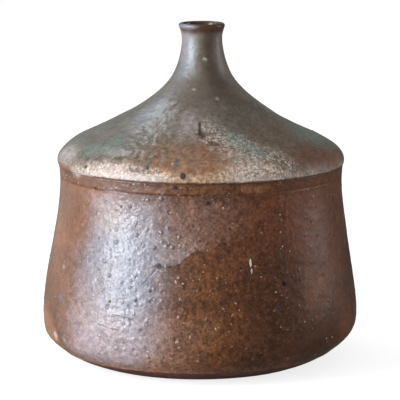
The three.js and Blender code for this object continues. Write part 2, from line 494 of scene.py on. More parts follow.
def inlay_tree():
    """Geometry Nodes that set a small melted grain on each point of a cloud."""
    rough = [("Unevenness", "Float", 0.2), ("Seed", "Float", 0.0), ("Glaze", "Material")]
    round_faces = [("Sides", "Int", 8), ("Rings", "Int", 5)]
    tree = new_tree("inlaid_grains", ("Points", "Geometry"), *rough, *round_faces)
    g = Graph(tree)
    given = g.node("NodeGroupInput").outputs

    def attribute(name):
        return g.node("GeometryNodeInputNamedAttribute", {"Name": name}, data_type="FLOAT_VECTOR").outputs[0]

    ball = {"Segments": given["Sides"], "Rings": given["Rings"], "Radius": 1.0}
    grain = g.node("GeometryNodeMeshUVSphere", ball).outputs[0]
    axes = {"Primary Axis": attribute("normal"), "Secondary Axis": attribute("along")}
    upright = g.node("FunctionNodeAxesToRotation", axes, primary_axis="Z", secondary_axis="X").outputs[0]
    setting = {"Points": given["Points"], "Instance": grain, "Rotation": upright}
    setting["Scale"] = attribute("half_size")
    placed = g.node("GeometryNodeInstanceOnPoints", setting)
    real = g.node("GeometryNodeRealizeInstances", {"Geometry": placed.outputs[0]})
    where = g.node("GeometryNodeInputPosition").outputs[0]
    bumps = {"Vector": where, "W": given["Seed"], "Scale": 1 / GRAIN_WANDER}
    wander = g.node("ShaderNodeTexNoise", bumps, noise_dimensions="4D")
    shift = g.vector("SUBTRACT", wander.outputs["Color"], (0.5, 0.5, 0.5))
    shift = g.vector("SCALE", shift, g.times(given["Unevenness"], MM))
    uneven = g.node("GeometryNodeSetPosition", {"Geometry": real.outputs[0], "Offset": shift})
    end_tree(g, uneven.outputs[0], given["Glaze"])
    return tree


def grown(name, tree, places, marks, inputs):
    """A piece that a tree makes from points, each with its marks, as a plain mesh."""
    points = bpy.data.meshes.new(name + "_points")
    points.from_pydata(places, [], [])
    for key, values in marks.items():
        if isinstance(values[0], float):
            points.attributes.new(key, "FLOAT", "POINT").data.foreach_set("value", values)
        else:
            flat = [part for value in values for part in value]
            points.attributes.new(key, "FLOAT_VECTOR", "POINT").data.foreach_set("vector", flat)
    holder = bpy.data.objects.new(name + "_points", points)
    bpy.context.scene.collection.objects.link(holder)
    modifier = holder.modifiers.new(tree.name, "NODES")
    modifier.node_group = tree
    for key, value in inputs.items():
        set_input(modifier, key, value)
    depsgraph = bpy.context.evaluated_depsgraph_get()
    mesh = bpy.data.meshes.new_from_object(holder.evaluated_get(depsgraph), depsgraph=depsgraph)
    mesh.name = name
    bpy.data.objects.remove(holder)
    bpy.data.meshes.remove(points)
    piece = bpy.data.objects.new(name, mesh)
    bpy.context.scene.collection.objects.link(piece)
    if not mesh.polygons:
        raise RuntimeError(f"{name} came out empty")
    return piece


# Sections of the turned parts, each point as (radius, height, outward radius, outward height, relief, cut)

# Height of a hem as a share of a row
HEM = 0.12
# Points of a section nearer than this are the same
SAME_POINT = 0.01 * MM
# Edges sharper than this are shaded as edges
SHARP_ANGLE = math.radians(38)
# Rings of faces on the floor, and steps round the rolled lip
FLOOR_RINGS = 8
LIP_STEPS = 16


def corner(radius, height, relief=0.0, cut=0.0):
    """A section point on a joint plane, which relief may only move sideways."""
    return (radius, height, 1.0, 0.0, relief, cut)


def sweep(start, start_handle, end_handle, end, spacing, relief=1.0, hem=False):
    """Section points along a cubic curve that climbs the outside or comes down the inside.

    A hem is a narrow row at each end, which lets the shading pass a joint without a line.
    """
    a, b, c, d = (Vector(p) for p in (start, start_handle, end_handle, end))
    length = ((b - a).length + (c - b).length + (d - c).length + (d - a).length) / 2
    steps = max(2, round(length / spacing))
    shares = [i / steps for i in range(steps + 1)]
    if hem:
        shares = [0.0, HEM / steps, *shares[1:-1], 1 - HEM / steps, 1.0]
    run = []
    for t in shares:
        s = 1 - t
        place = a * s**3 + b * (3 * s * s * t) + c * (3 * s * t * t) + d * t**3
        along = ((b - a) * s * s + (c - b) * (2 * s * t) + (d - c) * t * t).normalized()
        run.append((place.x, place.y, along.y, -along.x, relief, 0.0))
    return run


def joined(*runs):
    """One section from several runs, without a point that repeats the one before it."""
    section = []
    for point in (p for run in runs for p in run):
        if not section or math.dist(section[-1][:2], point[:2]) > SAME_POINT:
            section.append(point)
    return section


def turned(name, section, columns, glaze, closed=True):
    """Turns a section into a part by Geometry Nodes."""
    surface = bpy.context.scene.vase_surface
    if closed:
        section = section + [section[0]]
    marks = {
        "outward": [(point[2], 0.0, point[3]) for point in section],
        "relief": [point[4] for point in section],
        "cut": [point[5] for point in section],
    }
    inputs = {label: getattr(surface, label.lower().replace(" ", "_")) for label in SURFACE_INPUTS}
    inputs |= {"Section points": len(section), "Columns": columns, "Height": VASE_TOP}
    inputs |= {"Cut line": bpy.context.scene.vase_form.cut_line, "Seed": float(surface.seed), "Glaze": glaze}
    tree = bpy.data.node_groups.get("turned_part") or turned_tree()
    piece = grown(name, tree, [(point[0], 0.0, point[1]) for point in section], marks, inputs)
    piece.data.set_sharp_from_angle(angle=SHARP_ANGLE)
    return piece


def dress(piece, node):
    """Puts a finished piece on the frame in place of its node."""
    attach(piece, BODY)
    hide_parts(node)


def foot_section(form):
    """The turned foot, from the flat that stands to the notch under the belly."""
    notch = radius_of("foot_ring")
    rise = sweep(
        (form.contact_radius, 0.0),
        (form.contact_radius + 4.5 * MM, 1.5 * MM),
        (notch - 1.8 * MM, 3.3 * MM),
        (notch, FOOT_TOP),
        spacing=form.fine_row,
    )
    rise[0] = corner(form.contact_radius, 0.0)
    rise[-1] = corner(notch, FOOT_TOP, relief=1.0)
    recess = sweep(
        (form.recess_radius, FOOT_TOP),
        (form.recess_radius, FOOT_TOP * 0.7),
        (form.recess_radius, FOOT_TOP * 0.3),
        (form.recess_radius, 0.0),
        spacing=1.2 * MM,
        relief=0.0,
    )
    return joined(rise, recess)


def floor_section(form):
    """The floor disc, from the axis out and back to the axis."""
    radii = [form.floor_radius * ring / FLOOR_RINGS for ring in range(FLOOR_RINGS + 1)]
    low = [corner(radius, FOOT_TOP) for radius in radii]
    high = [corner(radius, FLOOR_TOP) for radius in reversed(radii)]
    return joined(low, high)


def drum_section(form):
    """The drum: rolled glaze edge at the notch, belly, long draw to the waist, and the cut line."""
    belly = radius_of("body_wall")
    start = form.belly_bottom
    inside_foot = form.floor_radius + form.floor_clearance
    inside_belly = belly - form.belly_wall
    inside_waist = form.waist_radius - form.waist_wall
    roll = sweep(
        (start - 0.4 * MM, FOOT_TOP),
        (start - 0.1 * MM, FOOT_TOP),
        (start + 0.15 * MM, FOOT_TOP + 0.12 * MM),
        (start + 0.5 * MM, FOOT_TOP + 0.42 * MM),
        spacing=0.2 * MM,
    )
    roll[0] = corner(start - 0.4 * MM, FOOT_TOP, relief=1.0)
    rounding = sweep(
        (start + 0.5 * MM, FOOT_TOP + 0.42 * MM),
        (start + 6.3 * MM, FOOT_TOP + 5.2 * MM),
        (belly, form.belly_height - 9.1 * MM),
        (belly, form.belly_height),
        spacing=form.fine_row,
    )
    side = sweep(
        (belly, form.belly_height),
        (belly, form.belly_height + 13.8 * MM),
        (form.waist_radius, form.waist_height - 16.1 * MM),
        (form.waist_radius, form.waist_height),
        spacing=form.fine_row,
    )
    waist = [
        corner(form.waist_radius, BAND_BOTTOM - 1.5 * MM, relief=1.0),
        corner(form.waist_radius, BAND_BOTTOM - 0.95 * MM, relief=1.0),
        corner(form.waist_radius + 0.06 * MM, BAND_BOTTOM - form.cut_line, relief=1.0),
        corner(form.waist_radius - 0.12 * MM, BAND_BOTTOM - form.cut_line * 0.5, relief=1.0),
        corner(form.waist_radius - form.cut_line, BAND_BOTTOM, relief=1.0, cut=1.0),
    ]
    down = sweep(
        (inside_waist, BAND_BOTTOM),
        (inside_waist, BAND_BOTTOM - 18 * MM),
        (inside_belly, form.belly_height + 15.5 * MM),
        (inside_belly, form.belly_height + 3.5 * MM),
        spacing=form.plain_row,
        relief=0.0,
    )
    hollow = sweep(
        (inside_belly, form.belly_height + 3.5 * MM),
        (inside_belly, FLOOR_TOP + 4 * MM),
        (inside_foot + 7 * MM, FLOOR_TOP),
        (inside_foot, FLOOR_TOP),
        spacing=form.plain_row / 2,
        relief=0.0,
    )
    return joined(roll, rounding, side, waist, down, hollow, [corner(inside_foot, FOOT_TOP)])


def seam_section(form):
    """The luted band, swelling from the cut line to the soft edge under the shoulder."""
    inside = form.waist_radius - form.waist_wall
    edge = radius_of("shoulder") - 0.5 * MM
    face = sweep(
        (form.waist_radius + 0.08 * MM, BAND_BOTTOM + form.cut_line),
        (form.waist_radius + 0.25 * MM, BAND_BOTTOM + 1.6 * MM),
        (edge - 0.4 * MM, SHOULDER_BOTTOM - 2 * MM),
        (edge - 0.05 * MM, SHOULDER_BOTTOM - 0.5 * MM),
        spacing=0.35 * MM,
    )
    under = sweep(
        (edge - 0.05 * MM, SHOULDER_BOTTOM - 0.5 * MM),
        (edge, SHOULDER_BOTTOM - 0.3 * MM),
        (edge - 0.05 * MM, SHOULDER_BOTTOM - 0.1 * MM),
        (edge - 0.25 * MM, SHOULDER_BOTTOM),
        spacing=0.2 * MM,
    )
    under[-1] = corner(edge - 0.25 * MM, SHOULDER_BOTTOM, relief=1.0)
    line = [
        corner(form.waist_radius - form.cut_line, BAND_BOTTOM, relief=1.0, cut=1.0),
        corner(form.waist_radius - 0.16 * MM, BAND_BOTTOM + form.cut_line * 0.45, relief=1.0),
    ]
    return joined([corner(inside, BAND_BOTTOM)], line, face, under, [corner(inside, SHOULDER_BOTTOM)])


def shoulder_section(form):
    """The shoulder: proud rounded edge, break, and the long hollow slope to the neck."""
    edge = radius_of("shoulder")
    root = radius_of("neck")
    inside = form.waist_radius - form.waist_wall
    turn_in = Vector((form.break_radius - 1.6 * MM, form.break_height - 4 * MM))
    under = sweep(
        (edge - 0.5 * MM, SHOULDER_BOTTOM),
        (edge - 0.12 * MM, SHOULDER_BOTTOM + 0.25 * MM),
        (edge, SHOULDER_BOTTOM + 1 * MM),
        (edge, form.edge_height),
        spacing=0.25 * MM,
    )
    under[0] = corner(edge - 0.5 * MM, SHOULDER_BOTTOM, relief=1.0)
    over = sweep(
        (edge, form.edge_height),
        (edge, form.edge_height + 5.2 * MM),
        (form.break_radius + 0.5 * MM, form.break_height - 0.2 * MM),
        (form.break_radius, form.break_height),
        spacing=form.fine_row,
    )
    slope = sweep(
        (form.break_radius, form.break_height),
        (form.break_radius - 8.5 * MM, form.break_height + 3.4 * MM),
        (root + 5.8 * MM, NECK_BOTTOM - 12.2 * MM),
        (root, NECK_BOTTOM),
        spacing=form.fine_row,
        hem=True,
    )
    down = sweep(
        (form.bore_root, NECK_BOTTOM),
        (form.bore_root + 4 * MM, NECK_BOTTOM - 15.5 * MM),
        turn_in + Vector((-9 * MM, 3.7 * MM)),
        turn_in,
        spacing=form.plain_row,
        relief=0.0,
    )
    back = sweep(
        turn_in,
        turn_in + Vector((4.5 * MM, -1.8 * MM)),
        (inside, form.edge_height + 2.8 * MM),
        (inside, form.edge_height),
        spacing=form.plain_row / 2,
        relief=0.0,
    )
    return joined([corner(inside, SHOULDER_BOTTOM)], under, over, slope, down, back)


def neck_section(form):
    """The neck, from the shoulder to its thinnest place."""
    root = radius_of("neck")
    rise = sweep(
        (root, NECK_BOTTOM),
        (root - 1.9 * MM, NECK_BOTTOM + 4 * MM),
        (form.neck_radius, LIP_BOTTOM - 5 * MM),
        (form.neck_radius, LIP_BOTTOM),
        spacing=0.3 * MM,
        hem=True,
    )
    bore = sweep(
        (form.bore_radius, LIP_BOTTOM),
        (form.bore_radius, LIP_BOTTOM - 5.3 * MM),
        (form.bore_root - 0.3 * MM, NECK_BOTTOM + 5 * MM),
        (form.bore_root, NECK_BOTTOM),
        spacing=1.5 * MM,
        relief=0.0,
    )
    return joined(rise, bore)


def lip_section(form):
    """The flared lip, rolled over into the bore."""
    lip = radius_of("lip")
    roll = form.lip_rounding
    centre = Vector((lip - roll, VASE_TOP - roll))
    flare = sweep(
        (form.neck_radius, LIP_BOTTOM),
        (form.neck_radius, LIP_BOTTOM + 1.9 * MM),
        (lip - 0.5 * MM, centre.y - 1.5 * MM),
        (lip, centre.y),
        spacing=0.2 * MM,
        hem=True,
    )
    over = []
    for step in range(1, LIP_STEPS):
        angle = math.pi * step / LIP_STEPS
        out = (math.cos(angle), math.sin(angle))
        over.append((centre.x + roll * out[0], centre.y + roll * out[1], *out, 0.5, 0.0))
    bore = sweep(
        (lip - 2 * roll, centre.y),
        (lip - 2 * roll, centre.y - 1 * MM),
        (form.bore_radius, LIP_BOTTOM + 2.7 * MM),
        (form.bore_radius, LIP_BOTTOM),
        spacing=0.5 * MM,
        relief=0.3,
    )
    bore[-1] = corner(form.bore_radius, LIP_BOTTOM)
    return joined(flare, over, bore)


# Glazes and clay

# Width of a degree round the drum and round the middle of the shoulder
DRUM_MM_PER_DEGREE = 1.1
SHOULDER_MM_PER_DEGREE = 0.8
# What every new cloud or ragged edge adds to the seed of its glaze
SEED_STEP = 1.7
# Melted iron that shows at the front, as (angle, height, half width)
IRON_SPOTS_MM = (
    (-6.5, 88.0, 1.35), (-9.6, 83.0, 1.1), (3.1, 76.7, 0.9), (-32.4, 73.6, 0.6), (-15.2, 50.9, 1.1),
    (-51, 88.3, 0.7), (-21, 90.5, 0.6), (9.4, 60.1, 0.7), (15.2, 50.1, 0.7),
    (7.3, 46.0, 0.5), (-23.5, 36.2, 0.6), (-18.2, 40.7, 0.75), (22.7, 21.9, 0.5), (0.0, 61.4, 0.5),
)


class Glaze(Graph):
    """A material whose patterns are laid out on the pot by angle and height."""

    def __init__(self, name):
        self.material = empty_material(name)
        super().__init__(self.material.node_tree)
        self.place = self.vector("SCALE", self.object_place(), 1 / MM)
        x, y, self.height = self.parts(self.place)
        turn = self.math("ARCTAN2", x, self.times(y, -1.0))
        self.angle = self.times(turn, 180 / math.pi)
        self.seed = 0.0
        self.colour = None

    def cloud(self, size_mm, low=0.35, high=0.65, detail=2.0, roughness=0.5, start=0.0, end=1.0):
        """Soft clouds, each call with a seed of its own."""
        self.seed += SEED_STEP
        noise = self.noise(self.place, size_mm, detail, roughness, self.seed)
        return self.step(noise, low, high, start, end)

    def wander(self, size_mm, reach):
        """Cloudy noise about zero that reaches about so far each way."""
        self.seed += SEED_STEP
        around_zero = self.minus(self.noise(self.place, size_mm, 3.0, 0.6, self.seed), 0.5)
        return self.times(around_zero, 4 * reach)

    def patch(self, angle, height_mm, half_angle, half_height_mm, soft=0.4, ragged=0.3, grain_mm=4.0):
        """1 inside a ragged oval on the surface, 0 outside it."""
        across = self.ratio(self.minus(self.angle, angle), half_angle)
        along = self.ratio(self.minus(self.height, height_mm), half_height_mm)
        squares = self.plus(self.times(across, across), self.times(along, along))
        reach = self.plus(self.math("SQRT", squares), self.wander(grain_mm, ragged))
        return self.step(reach, 1 - soft, 1 + soft, 1.0, 0.0)

    def spot(self, angle, height_mm, half_mm, soft=0.6, ragged=0.2, grain_mm=1.5):
        """1 inside a ragged round spot on the drum, 0 outside it."""
        return self.patch(angle, height_mm, half_mm / DRUM_MM_PER_DEGREE, half_mm, soft, ragged, grain_mm)

    def streak(self, start, end, half_mm, mm_per_degree, soft, ragged, grain_mm=2.0, bend_mm=0.0):
        """1 along a ragged streak between two places, each an angle and a height in millimetres."""
        run = (end[0] - start[0]) * mm_per_degree
        rise = end[1] - start[1]
        square = run * run + rise * rise
        across = self.times(self.minus(self.angle, start[0]), mm_per_degree)
        along = self.minus(self.height, start[1])
        if bend_mm:
            along = self.plus(along, self.wander(4.0, bend_mm))
        share = self.plus(self.times(across, run / square), self.times(along, rise / square), clamp=True)
        off_x = self.minus(across, self.times(share, run))
        off_y = self.minus(along, self.times(share, rise))
        squares = self.plus(self.times(off_x, off_x), self.times(off_y, off_y))
        reach = self.ratio(self.math("SQRT", squares), half_mm)
        return self.step(self.plus(reach, self.wander(grain_mm, ragged)), 1 - soft, 1 + soft, 1.0, 0.0)

    def specks(self, spacing_mm, radius_mm, share, soft=0.5):
        """Small round specks at scattered places, on a share of them."""
        self.seed += SEED_STEP
        near, picked = self.cells(self.place, spacing_mm, self.seed)
        limit = radius_mm / spacing_mm
        dots = self.step(near, limit * (1 - soft), limit * (1 + soft), 1.0, 0.0)
        return self.times(dots, self.step(picked, 1 - share, 1 - share * 0.8))

    def mottle(self, size_mm, reach, amount=1.0):
        """A factor about 1 that varies in blotches by so much each way."""
        spread = self.cloud(size_mm, 0.3, 0.7, 2.0, 0.5, -reach, reach)
        return self.plus(self.times(spread, amount), 1.0)

    def lay(self, share, swatch, strength=1.0):
        """Lays a colour over the glaze where a mask allows it. It is a setting's name or a mixed colour."""
        amount = self.times(share, strength)
        if isinstance(swatch, str):
            swatch = rgba(getattr(bpy.context.scene.vase_glaze, swatch))
        self.colour = self.mix(amount, self.colour, swatch)

    def lay_patches(self, patches):
        """Lays patches over the glaze, each as (swatch, strength) and what patch takes."""
        for swatch, strength, *place in patches:
            self.lay(self.patch(*place), swatch, strength)

    def lay_iron_spots(self, above_mm=0.0):
        """Lays the melted iron that is above a height over the glaze."""
        for angle, height, half in IRON_SPOTS_MM:
            if height > above_mm:
                self.lay(self.spot(angle, height, half, 0.35, 0.12), "iron_bead", 0.85)

    def shade(self, *factors):
        """Makes the glaze lighter or darker by factors."""
        self.colour = self.vector("SCALE", self.colour, self.times(*factors))

    def fired(self, roughness, height_mm):
        """Closes the material with its gloss and its fine relief in millimetres."""
        bump = self.node("ShaderNodeBump", {"Strength": 1.0, "Distance": MM, "Height": height_mm})
        inputs = {"Base Color": self.colour, "Roughness": roughness, "IOR": 1.5, "Normal": bump.outputs[0]}
        self.close(self.node("ShaderNodeBsdfPrincipled", inputs).outputs[0])
        return self.material


def fine_relief(g, peel_mm=0.26, lumps_mm=0.3):
    """Orange peel, small lumps of grit under the glaze and pinholes, as a height in millimetres."""
    peel = g.times(g.noise(g.place, 2.0, 1.0, 0.5, 11.0), peel_mm)
    grain = g.times(g.noise(g.place, 0.6, 1.0, 0.5, 12.0), peel_mm * 0.12)
    lumps = g.times(g.specks(2.6, 0.7, 0.45, 0.9), lumps_mm)
    holes = g.times(g.specks(4.6, 0.5, 0.35), -0.5 * lumps_mm)
    return g.times(g.plus(g.plus(peel, grain), g.plus(lumps, holes)), g.curve(g.angle, COARSE_SHARE))


# Lower edge of the pale film at the front of the drum, as (angle, height)
TIDE_MM = (
    (-26, 44.0), (-18, 50.4), (-15, 51.0), (-9.5, 51.2), (-7, 52.6), (-4.8, 54.8),
    (-2, 56.2), (3, 57.0), (9, 58.8), (15, 61.6), (22, 65.0), (30, 70.0),
)
# Top of the bright glaze edge over the foot, as (angle, height). At the front it reaches higher, as painted
# bounce light on the belly's underside
LOW_EDGE_AND_BOUNCE_MM = (
    (-180, 8.0), (-110, 24.0), (-80, 28.0), (-66, 21.0), (-57, 12.0), (-46, 10.0), (-32, 8.0), (-22, 12.0),
    (-14, 18.0), (-2, 16.0), (10, 9.0), (30, 6.0), (180, 8.0),
)
# Roughness added round the drum, as (angle, roughness)
DULL_SHARE = (
    (-180, 0.05), (-90, 0.14), (-60, 0.08), (-42, 0.0), (18, 0.0), (46, 0.14), (100, 0.14), (180, 0.05),
)
# Wrinkles in the highlight, each from one (angle, height) to another
WRINKLES_MM = (
    ((-32.4, 29.5), (-24.2, 28.3)),
    ((-38.5, 24.6), (-29.5, 22.8)),
    ((-16.2, 49.6), (-20.6, 43.8)),
)
# The black pit at the right, and a painted highlight along the cut line on the seam band
PIT_MM = (31.8, 42.2, 0.8, 0.85)
CUT_LINE_HIGHLIGHT_MM = ((-46, 80.3), (-30, 79.4))
# Small craters in the glaze, as (angle, height, half width)
CRATERS_MM = (
    (-35, 32.5, 0.9), (-18.9, 16.5, 0.9), (-23.5, 16, 0.7), (-17.5, 36.5, 0.8), (-13.5, 40.5, 0.6),
    (-46, 50, 0.7), (-26, 33.8, 0.6), (-20.6, 24.5, 0.7), (12, 66, 0.6), (-12, 73, 0.6),
)
# Cool spots in the film, as (angle, height, half width)
COOL_SPOTS_MM = ((-60.3, 32.0, 2.3), (-47.4, 19.8, 2.0), (-37.5, 22.0, 1.5))
# Patches are (swatch, strength, angle, height, half angle, half height, softness, raggedness, rag size)
DRUM_PATCHES_MM = (
    ("iron_red", 0.8, 42, 66, 34, 22, 0.6, 0.4, 8.0),
    ("iron_dark", 0.8, 30, 40, 11, 17, 0.5, 0.3, 6.0),
)
# The first of these is a painted highlight at the core of the window's reflection
FILM_PATCHES_MM = (
    ("lilac_film_and_highlight", 0.28, -26, 45, 9, 18, 0.7, 0.4, 5.0),
    ("pale_film_and_sheen", 0.15, -42, 75.6, 11, 3.2, 0.6, 0.4, 3.0),
    ("iron_dark", 0.45, 24, 20, 17, 12, 0.6, 0.3, 6.0),
    ("orange_tan_and_bounce", 0.25, -4, 23, 9, 8, 0.7, 0.4, 6.0),
)
LOW_PATCHES_MM = (
    ("orange_tan_and_bounce", 0.15, -73, 45, 15, 42, 0.5, 0.3, 6.0),
    ("ash_white", 0.6, -65.0, 14.4, 1.7, 1.8, 0.6, 0.1, 2.0),
)
# The first of these is the drip of ash glaze over the seam, and the fifth is painted shade under the cut
# line
SEAM_PATCHES_MM = (
    ("ash_white", 0.75, -58.6, 85.4, 3.6, 2.7, 0.4, 0.35, 2.5),
    ("iron_warm", 0.65, -60, 80, 17, 5, 0.5, 0.3, 3.0),
    ("iron_dark", 0.32, -50, 82.2, 16, 2.6, 0.5, 0.2, 3.0),
    ("iron_dark", 0.8, -67, 83.2, 4.5, 2.6, 0.6, 0.3, 3.0),
    ("iron_dark", 0.5, 0, 78.2, 24, 1.7, 0.6, 0.3, 3.0),
    ("orange_tan_and_bounce", 0.35, 21, 82.2, 5, 1.6, 0.7, 0.4, 2.0),
)


def iron_glaze(name):
    """Thin iron glaze on gritty clay: warm and sandy, with a pale film at the left and a tide mark."""
    look = bpy.context.scene.vase_glaze
    g = Glaze(name)
    g.colour = g.mix(g.cloud(22, 0.3, 0.7, 3.0), rgba(look.iron_warm), rgba(look.iron_dark))
    g.lay_patches(DRUM_PATCHES_MM)
    flecks = g.times(g.cloud(1.3, 0.52, 0.66, 2.0, 0.7), g.step(g.angle, 24.0, 48.0, 1.0, 0.4))
    g.lay(flecks, "iron_rust", 0.5)
    g.lay(g.cloud(4.0, 0.5, 0.72, 3.0, 0.7), "iron_dark", 0.65)
    g.lay(g.specks(1.7, 0.36, 0.35, 0.8), "iron_dark", 0.6)

    # The pale film: soft at its right below the tide mark, sharp along the mark, thin at the far left
    edge = g.plus(g.angle, g.wander(8.0, 4.0))
    left = g.plus(g.step(edge, -24.0, -6.0, 0.7, 0.0), g.step(edge, -14.0, 4.0, 0.3, 0.0))
    tide = g.plus(g.minus(g.height, g.curve(g.angle, TIDE_MM)), g.wander(3.5, 0.6))
    sharp = g.step(g.times(tide, g.step(g.angle, -9.0, 4.0, 1.0, 0.12)), -0.3, 0.8)
    above = g.times(sharp, g.step(g.plus(g.angle, g.wander(9.0, 5.0)), -2.0, 29.0, 1.0, 0.0))
    far = g.times(g.step(g.angle, -100.0, -76.0), g.step(g.angle, -70.0, -44.0, 0.15, 1.0))
    worn = g.minus(1.0, g.times(g.patch(-65, 71, 15, 14, 0.6, 0.3, 6.0), 0.8))
    film = g.times(g.most(left, above), far, worn)
    cloudy = g.cloud(6.0, 0.2, 0.75, 3.0, 0.65, 0.55, 1.0)
    thick = g.times(film, cloudy, g.cloud(1.8, 0.3, 0.7, 2.0, 0.6, 0.75, 1.0))
    g.lay(thick, "film_pink", 0.38)
    # Painted highlight: a cool lilac layer over the film where the window shines
    film_and_painted_highlight = g.times(thick, g.patch(-30, 46, 20, 32, 0.6, 0.3, 9.0))
    g.lay(film_and_painted_highlight, "lilac_film_and_highlight", 0.5)
    # Partly painted sheen: a pale layer low at the left, where the highlight runs down towards the foot
    low_film_and_sheen = g.times(film, g.patch(-34, 13, 24, 17, 0.6, 0.3, 7.0))
    g.lay(low_film_and_sheen, "pale_film_and_sheen", 0.6)
    g.lay(g.times(above, g.patch(-9, 55, 10, 8, 0.7, 0.4, 5.0)), "cream", 0.1)
    g.lay_patches(FILM_PATCHES_MM)
    at_tide = g.step(g.math("ABSOLUTE", tide), 0.15, 0.8, 1.0, 0.0)
    g.lay(g.times(at_tide, g.patch(-10, 54, 12, 6, 0.4, 0.0)), "iron_dark", 0.55)
    g.lay(g.patch(-37.5, 67.5, 5.5, 5.2, 0.8, 0.35, 4.0), "cream", 0.22)
    spots = g.times(g.specks(11, 1.7, 0.45, 0.4), g.step(g.angle, -50.0, -20.0, 1.0, 0.35))
    for place in COOL_SPOTS_MM:
        spots = g.most(spots, g.spot(*place, grain_mm=2.0))
    g.lay(spots, "blue_grey", 0.4)

    # Bright glaze edge over the foot, with one pale blister on it, and painted bounce light over it on the
    # belly's underside at the front
    top = g.plus(g.curve(g.angle, LOW_EDGE_AND_BOUNCE_MM), g.wander(5.0, 1.0))
    low = g.step(g.minus(g.height, top), -9.0, 2.0, 1.0, 0.0)
    g.lay(g.times(low, g.step(g.angle, -20.0, 12.0, 1.0, 0.3)), "orange_tan_and_bounce", 0.65)
    rim = g.step(g.plus(g.height, g.wander(3.0, 0.3)), 6.0, 8.5, 1.0, 0.0)
    g.lay(g.times(rim, g.step(g.angle, -20.0, 14.0, 1.0, 0.2)), "orange_tan_and_bounce", 0.6)
    g.lay_patches(LOW_PATCHES_MM)

    # The seam band, painted shade under the shoulder's edge, and a painted highlight along the cut line
    band = g.plus(g.height, g.wander(2.5, 0.25))
    in_band = g.times(g.step(band, 79.2, 80.4), g.step(g.angle, -50.0, -8.0, 0.1, 1.0))
    g.lay(in_band, "iron_warm", 0.65)
    g.lay(in_band, "iron_dark", 0.3)
    shade = g.times(g.step(band, 82.9, 84.3), g.step(g.angle, -53.0, -42.0))
    g.lay(shade, "dark_mark_and_shade", 0.35)
    # Painted highlight along the top of the cut line
    g.lay(g.streak(*CUT_LINE_HIGHLIGHT_MM, 0.35, DRUM_MM_PER_DEGREE, 0.6, 0.4), "ash_white", 0.35)
    g.lay_patches(SEAM_PATCHES_MM)

    # Iron spots, the pit, wrinkles, craters and grit
    g.lay_iron_spots()
    pit = g.patch(*PIT_MM, 0.3, 0.1, 1.5)
    g.lay(pit, "pit")
    # Painted shade: the wrinkles and the craters are darkened where they sink in
    wrinkles = [g.streak(*ends, 0.4, DRUM_MM_PER_DEGREE, 0.6, 0.4, 2.0, 0.7) for ends in WRINKLES_MM]
    wrinkles = g.most(*wrinkles)
    g.lay(wrinkles, "dark_mark_and_shade", 0.4)
    craters = g.most(*(g.spot(*place) for place in CRATERS_MM))
    g.lay(craters, "dark_mark_and_shade", 0.35)
    pale = g.plus(g.specks(2.8, 0.36, 0.3), g.specks(4.4, 0.5, 0.35), clamp=True)
    g.lay(pale, "grit", 0.5)
    blurs = g.specks(5.5, 1.0, 0.5, 0.8)
    blurs = g.times(blurs, g.step(g.angle, -56.0, -38.0, 1.0, 0.3), g.step(g.angle, -20.0, 0.0, 1.0, 0.0))
    g.lay(blurs, "pale_film_and_sheen", 0.35)
    g.lay(g.specks(5.0, 0.45, 0.4), "iron_bead", 0.7)
    uneven = g.times(g.step(g.angle, -24.0, -4.0, 0.6, 1.0), g.step(g.angle, 24.0, 48.0, 1.0, 0.55))
    g.shade(g.mottle(0.95, 0.34, uneven), g.mottle(2.4, 0.26, uneven))
    marks = g.minus(g.times(pale, 0.05), g.times(wrinkles, 0.14))
    marks = g.minus(marks, g.times(g.most(pit, craters), 0.3))
    rough = g.plus(g.cloud(6.0, 0.3, 0.7, 3.0, 0.5, 0.0, 0.12), look.roughness)
    rough = g.plus(g.plus(rough, g.times(pit, 0.5)), g.curve(g.angle, DULL_SHARE))
    return g.fired(rough, g.plus(fine_relief(g), marks))


# Height to which the pale ash crystals reach up the shoulder, as (angle, height)
ASH_TOP_MM = (
    (-180, 88.0), (-90, 90.0), (-68, 91.6), (-57, 91.0), (-48, 91.2), (-39, 92.8), (-32, 92.8), (-24, 91.8),
    (-13, 91.0), (-4, 89.0), (4, 90.0), (11, 92.0), (19, 94.0), (28, 93.2), (35, 89.8), (44, 87.2),
    (75, 86.6), (110, 89.0), (180, 88.0),
)
# Strength of the smooth pale line on the shoulder's edge, as (angle, share). Where it is strongest, at the
# left of the front, it is partly a painted highlight
ASH_LINE_AND_HIGHLIGHT = (
    (-180, 0.3), (-90, 0.4), (-70, 0.3), (-58, 0.3), (-50, 0.4), (-42, 0.85), (-14, 0.85), (-7, 0.45),
    (0, 0.3), (10, 0.4), (18, 0.5), (30, 0.4), (37, 0.22), (48, 0.1), (70, 0.05), (110, 0.1), (180, 0.3),
)
# How much light the ash glaze gives back, less where it lies thin at the left, as (angle, share)
ASH_DEPTH = (
    (-180, 1.0), (-120, 0.88), (-75, 0.74), (-45, 0.76), (-14, 1.08), (8, 1.08), (24, 0.98), (180, 1.0),
)
# Streaks from one (angle, height) to another: the pale run, the green pool in it, and a dark mark
RUN_MM = ((5, 102.5), (36, 91.5))
POOL_MM = ((18, 101), (27, 96))
MARK_MM = ((-0.3, 105.6), (-0.1, 102.4))
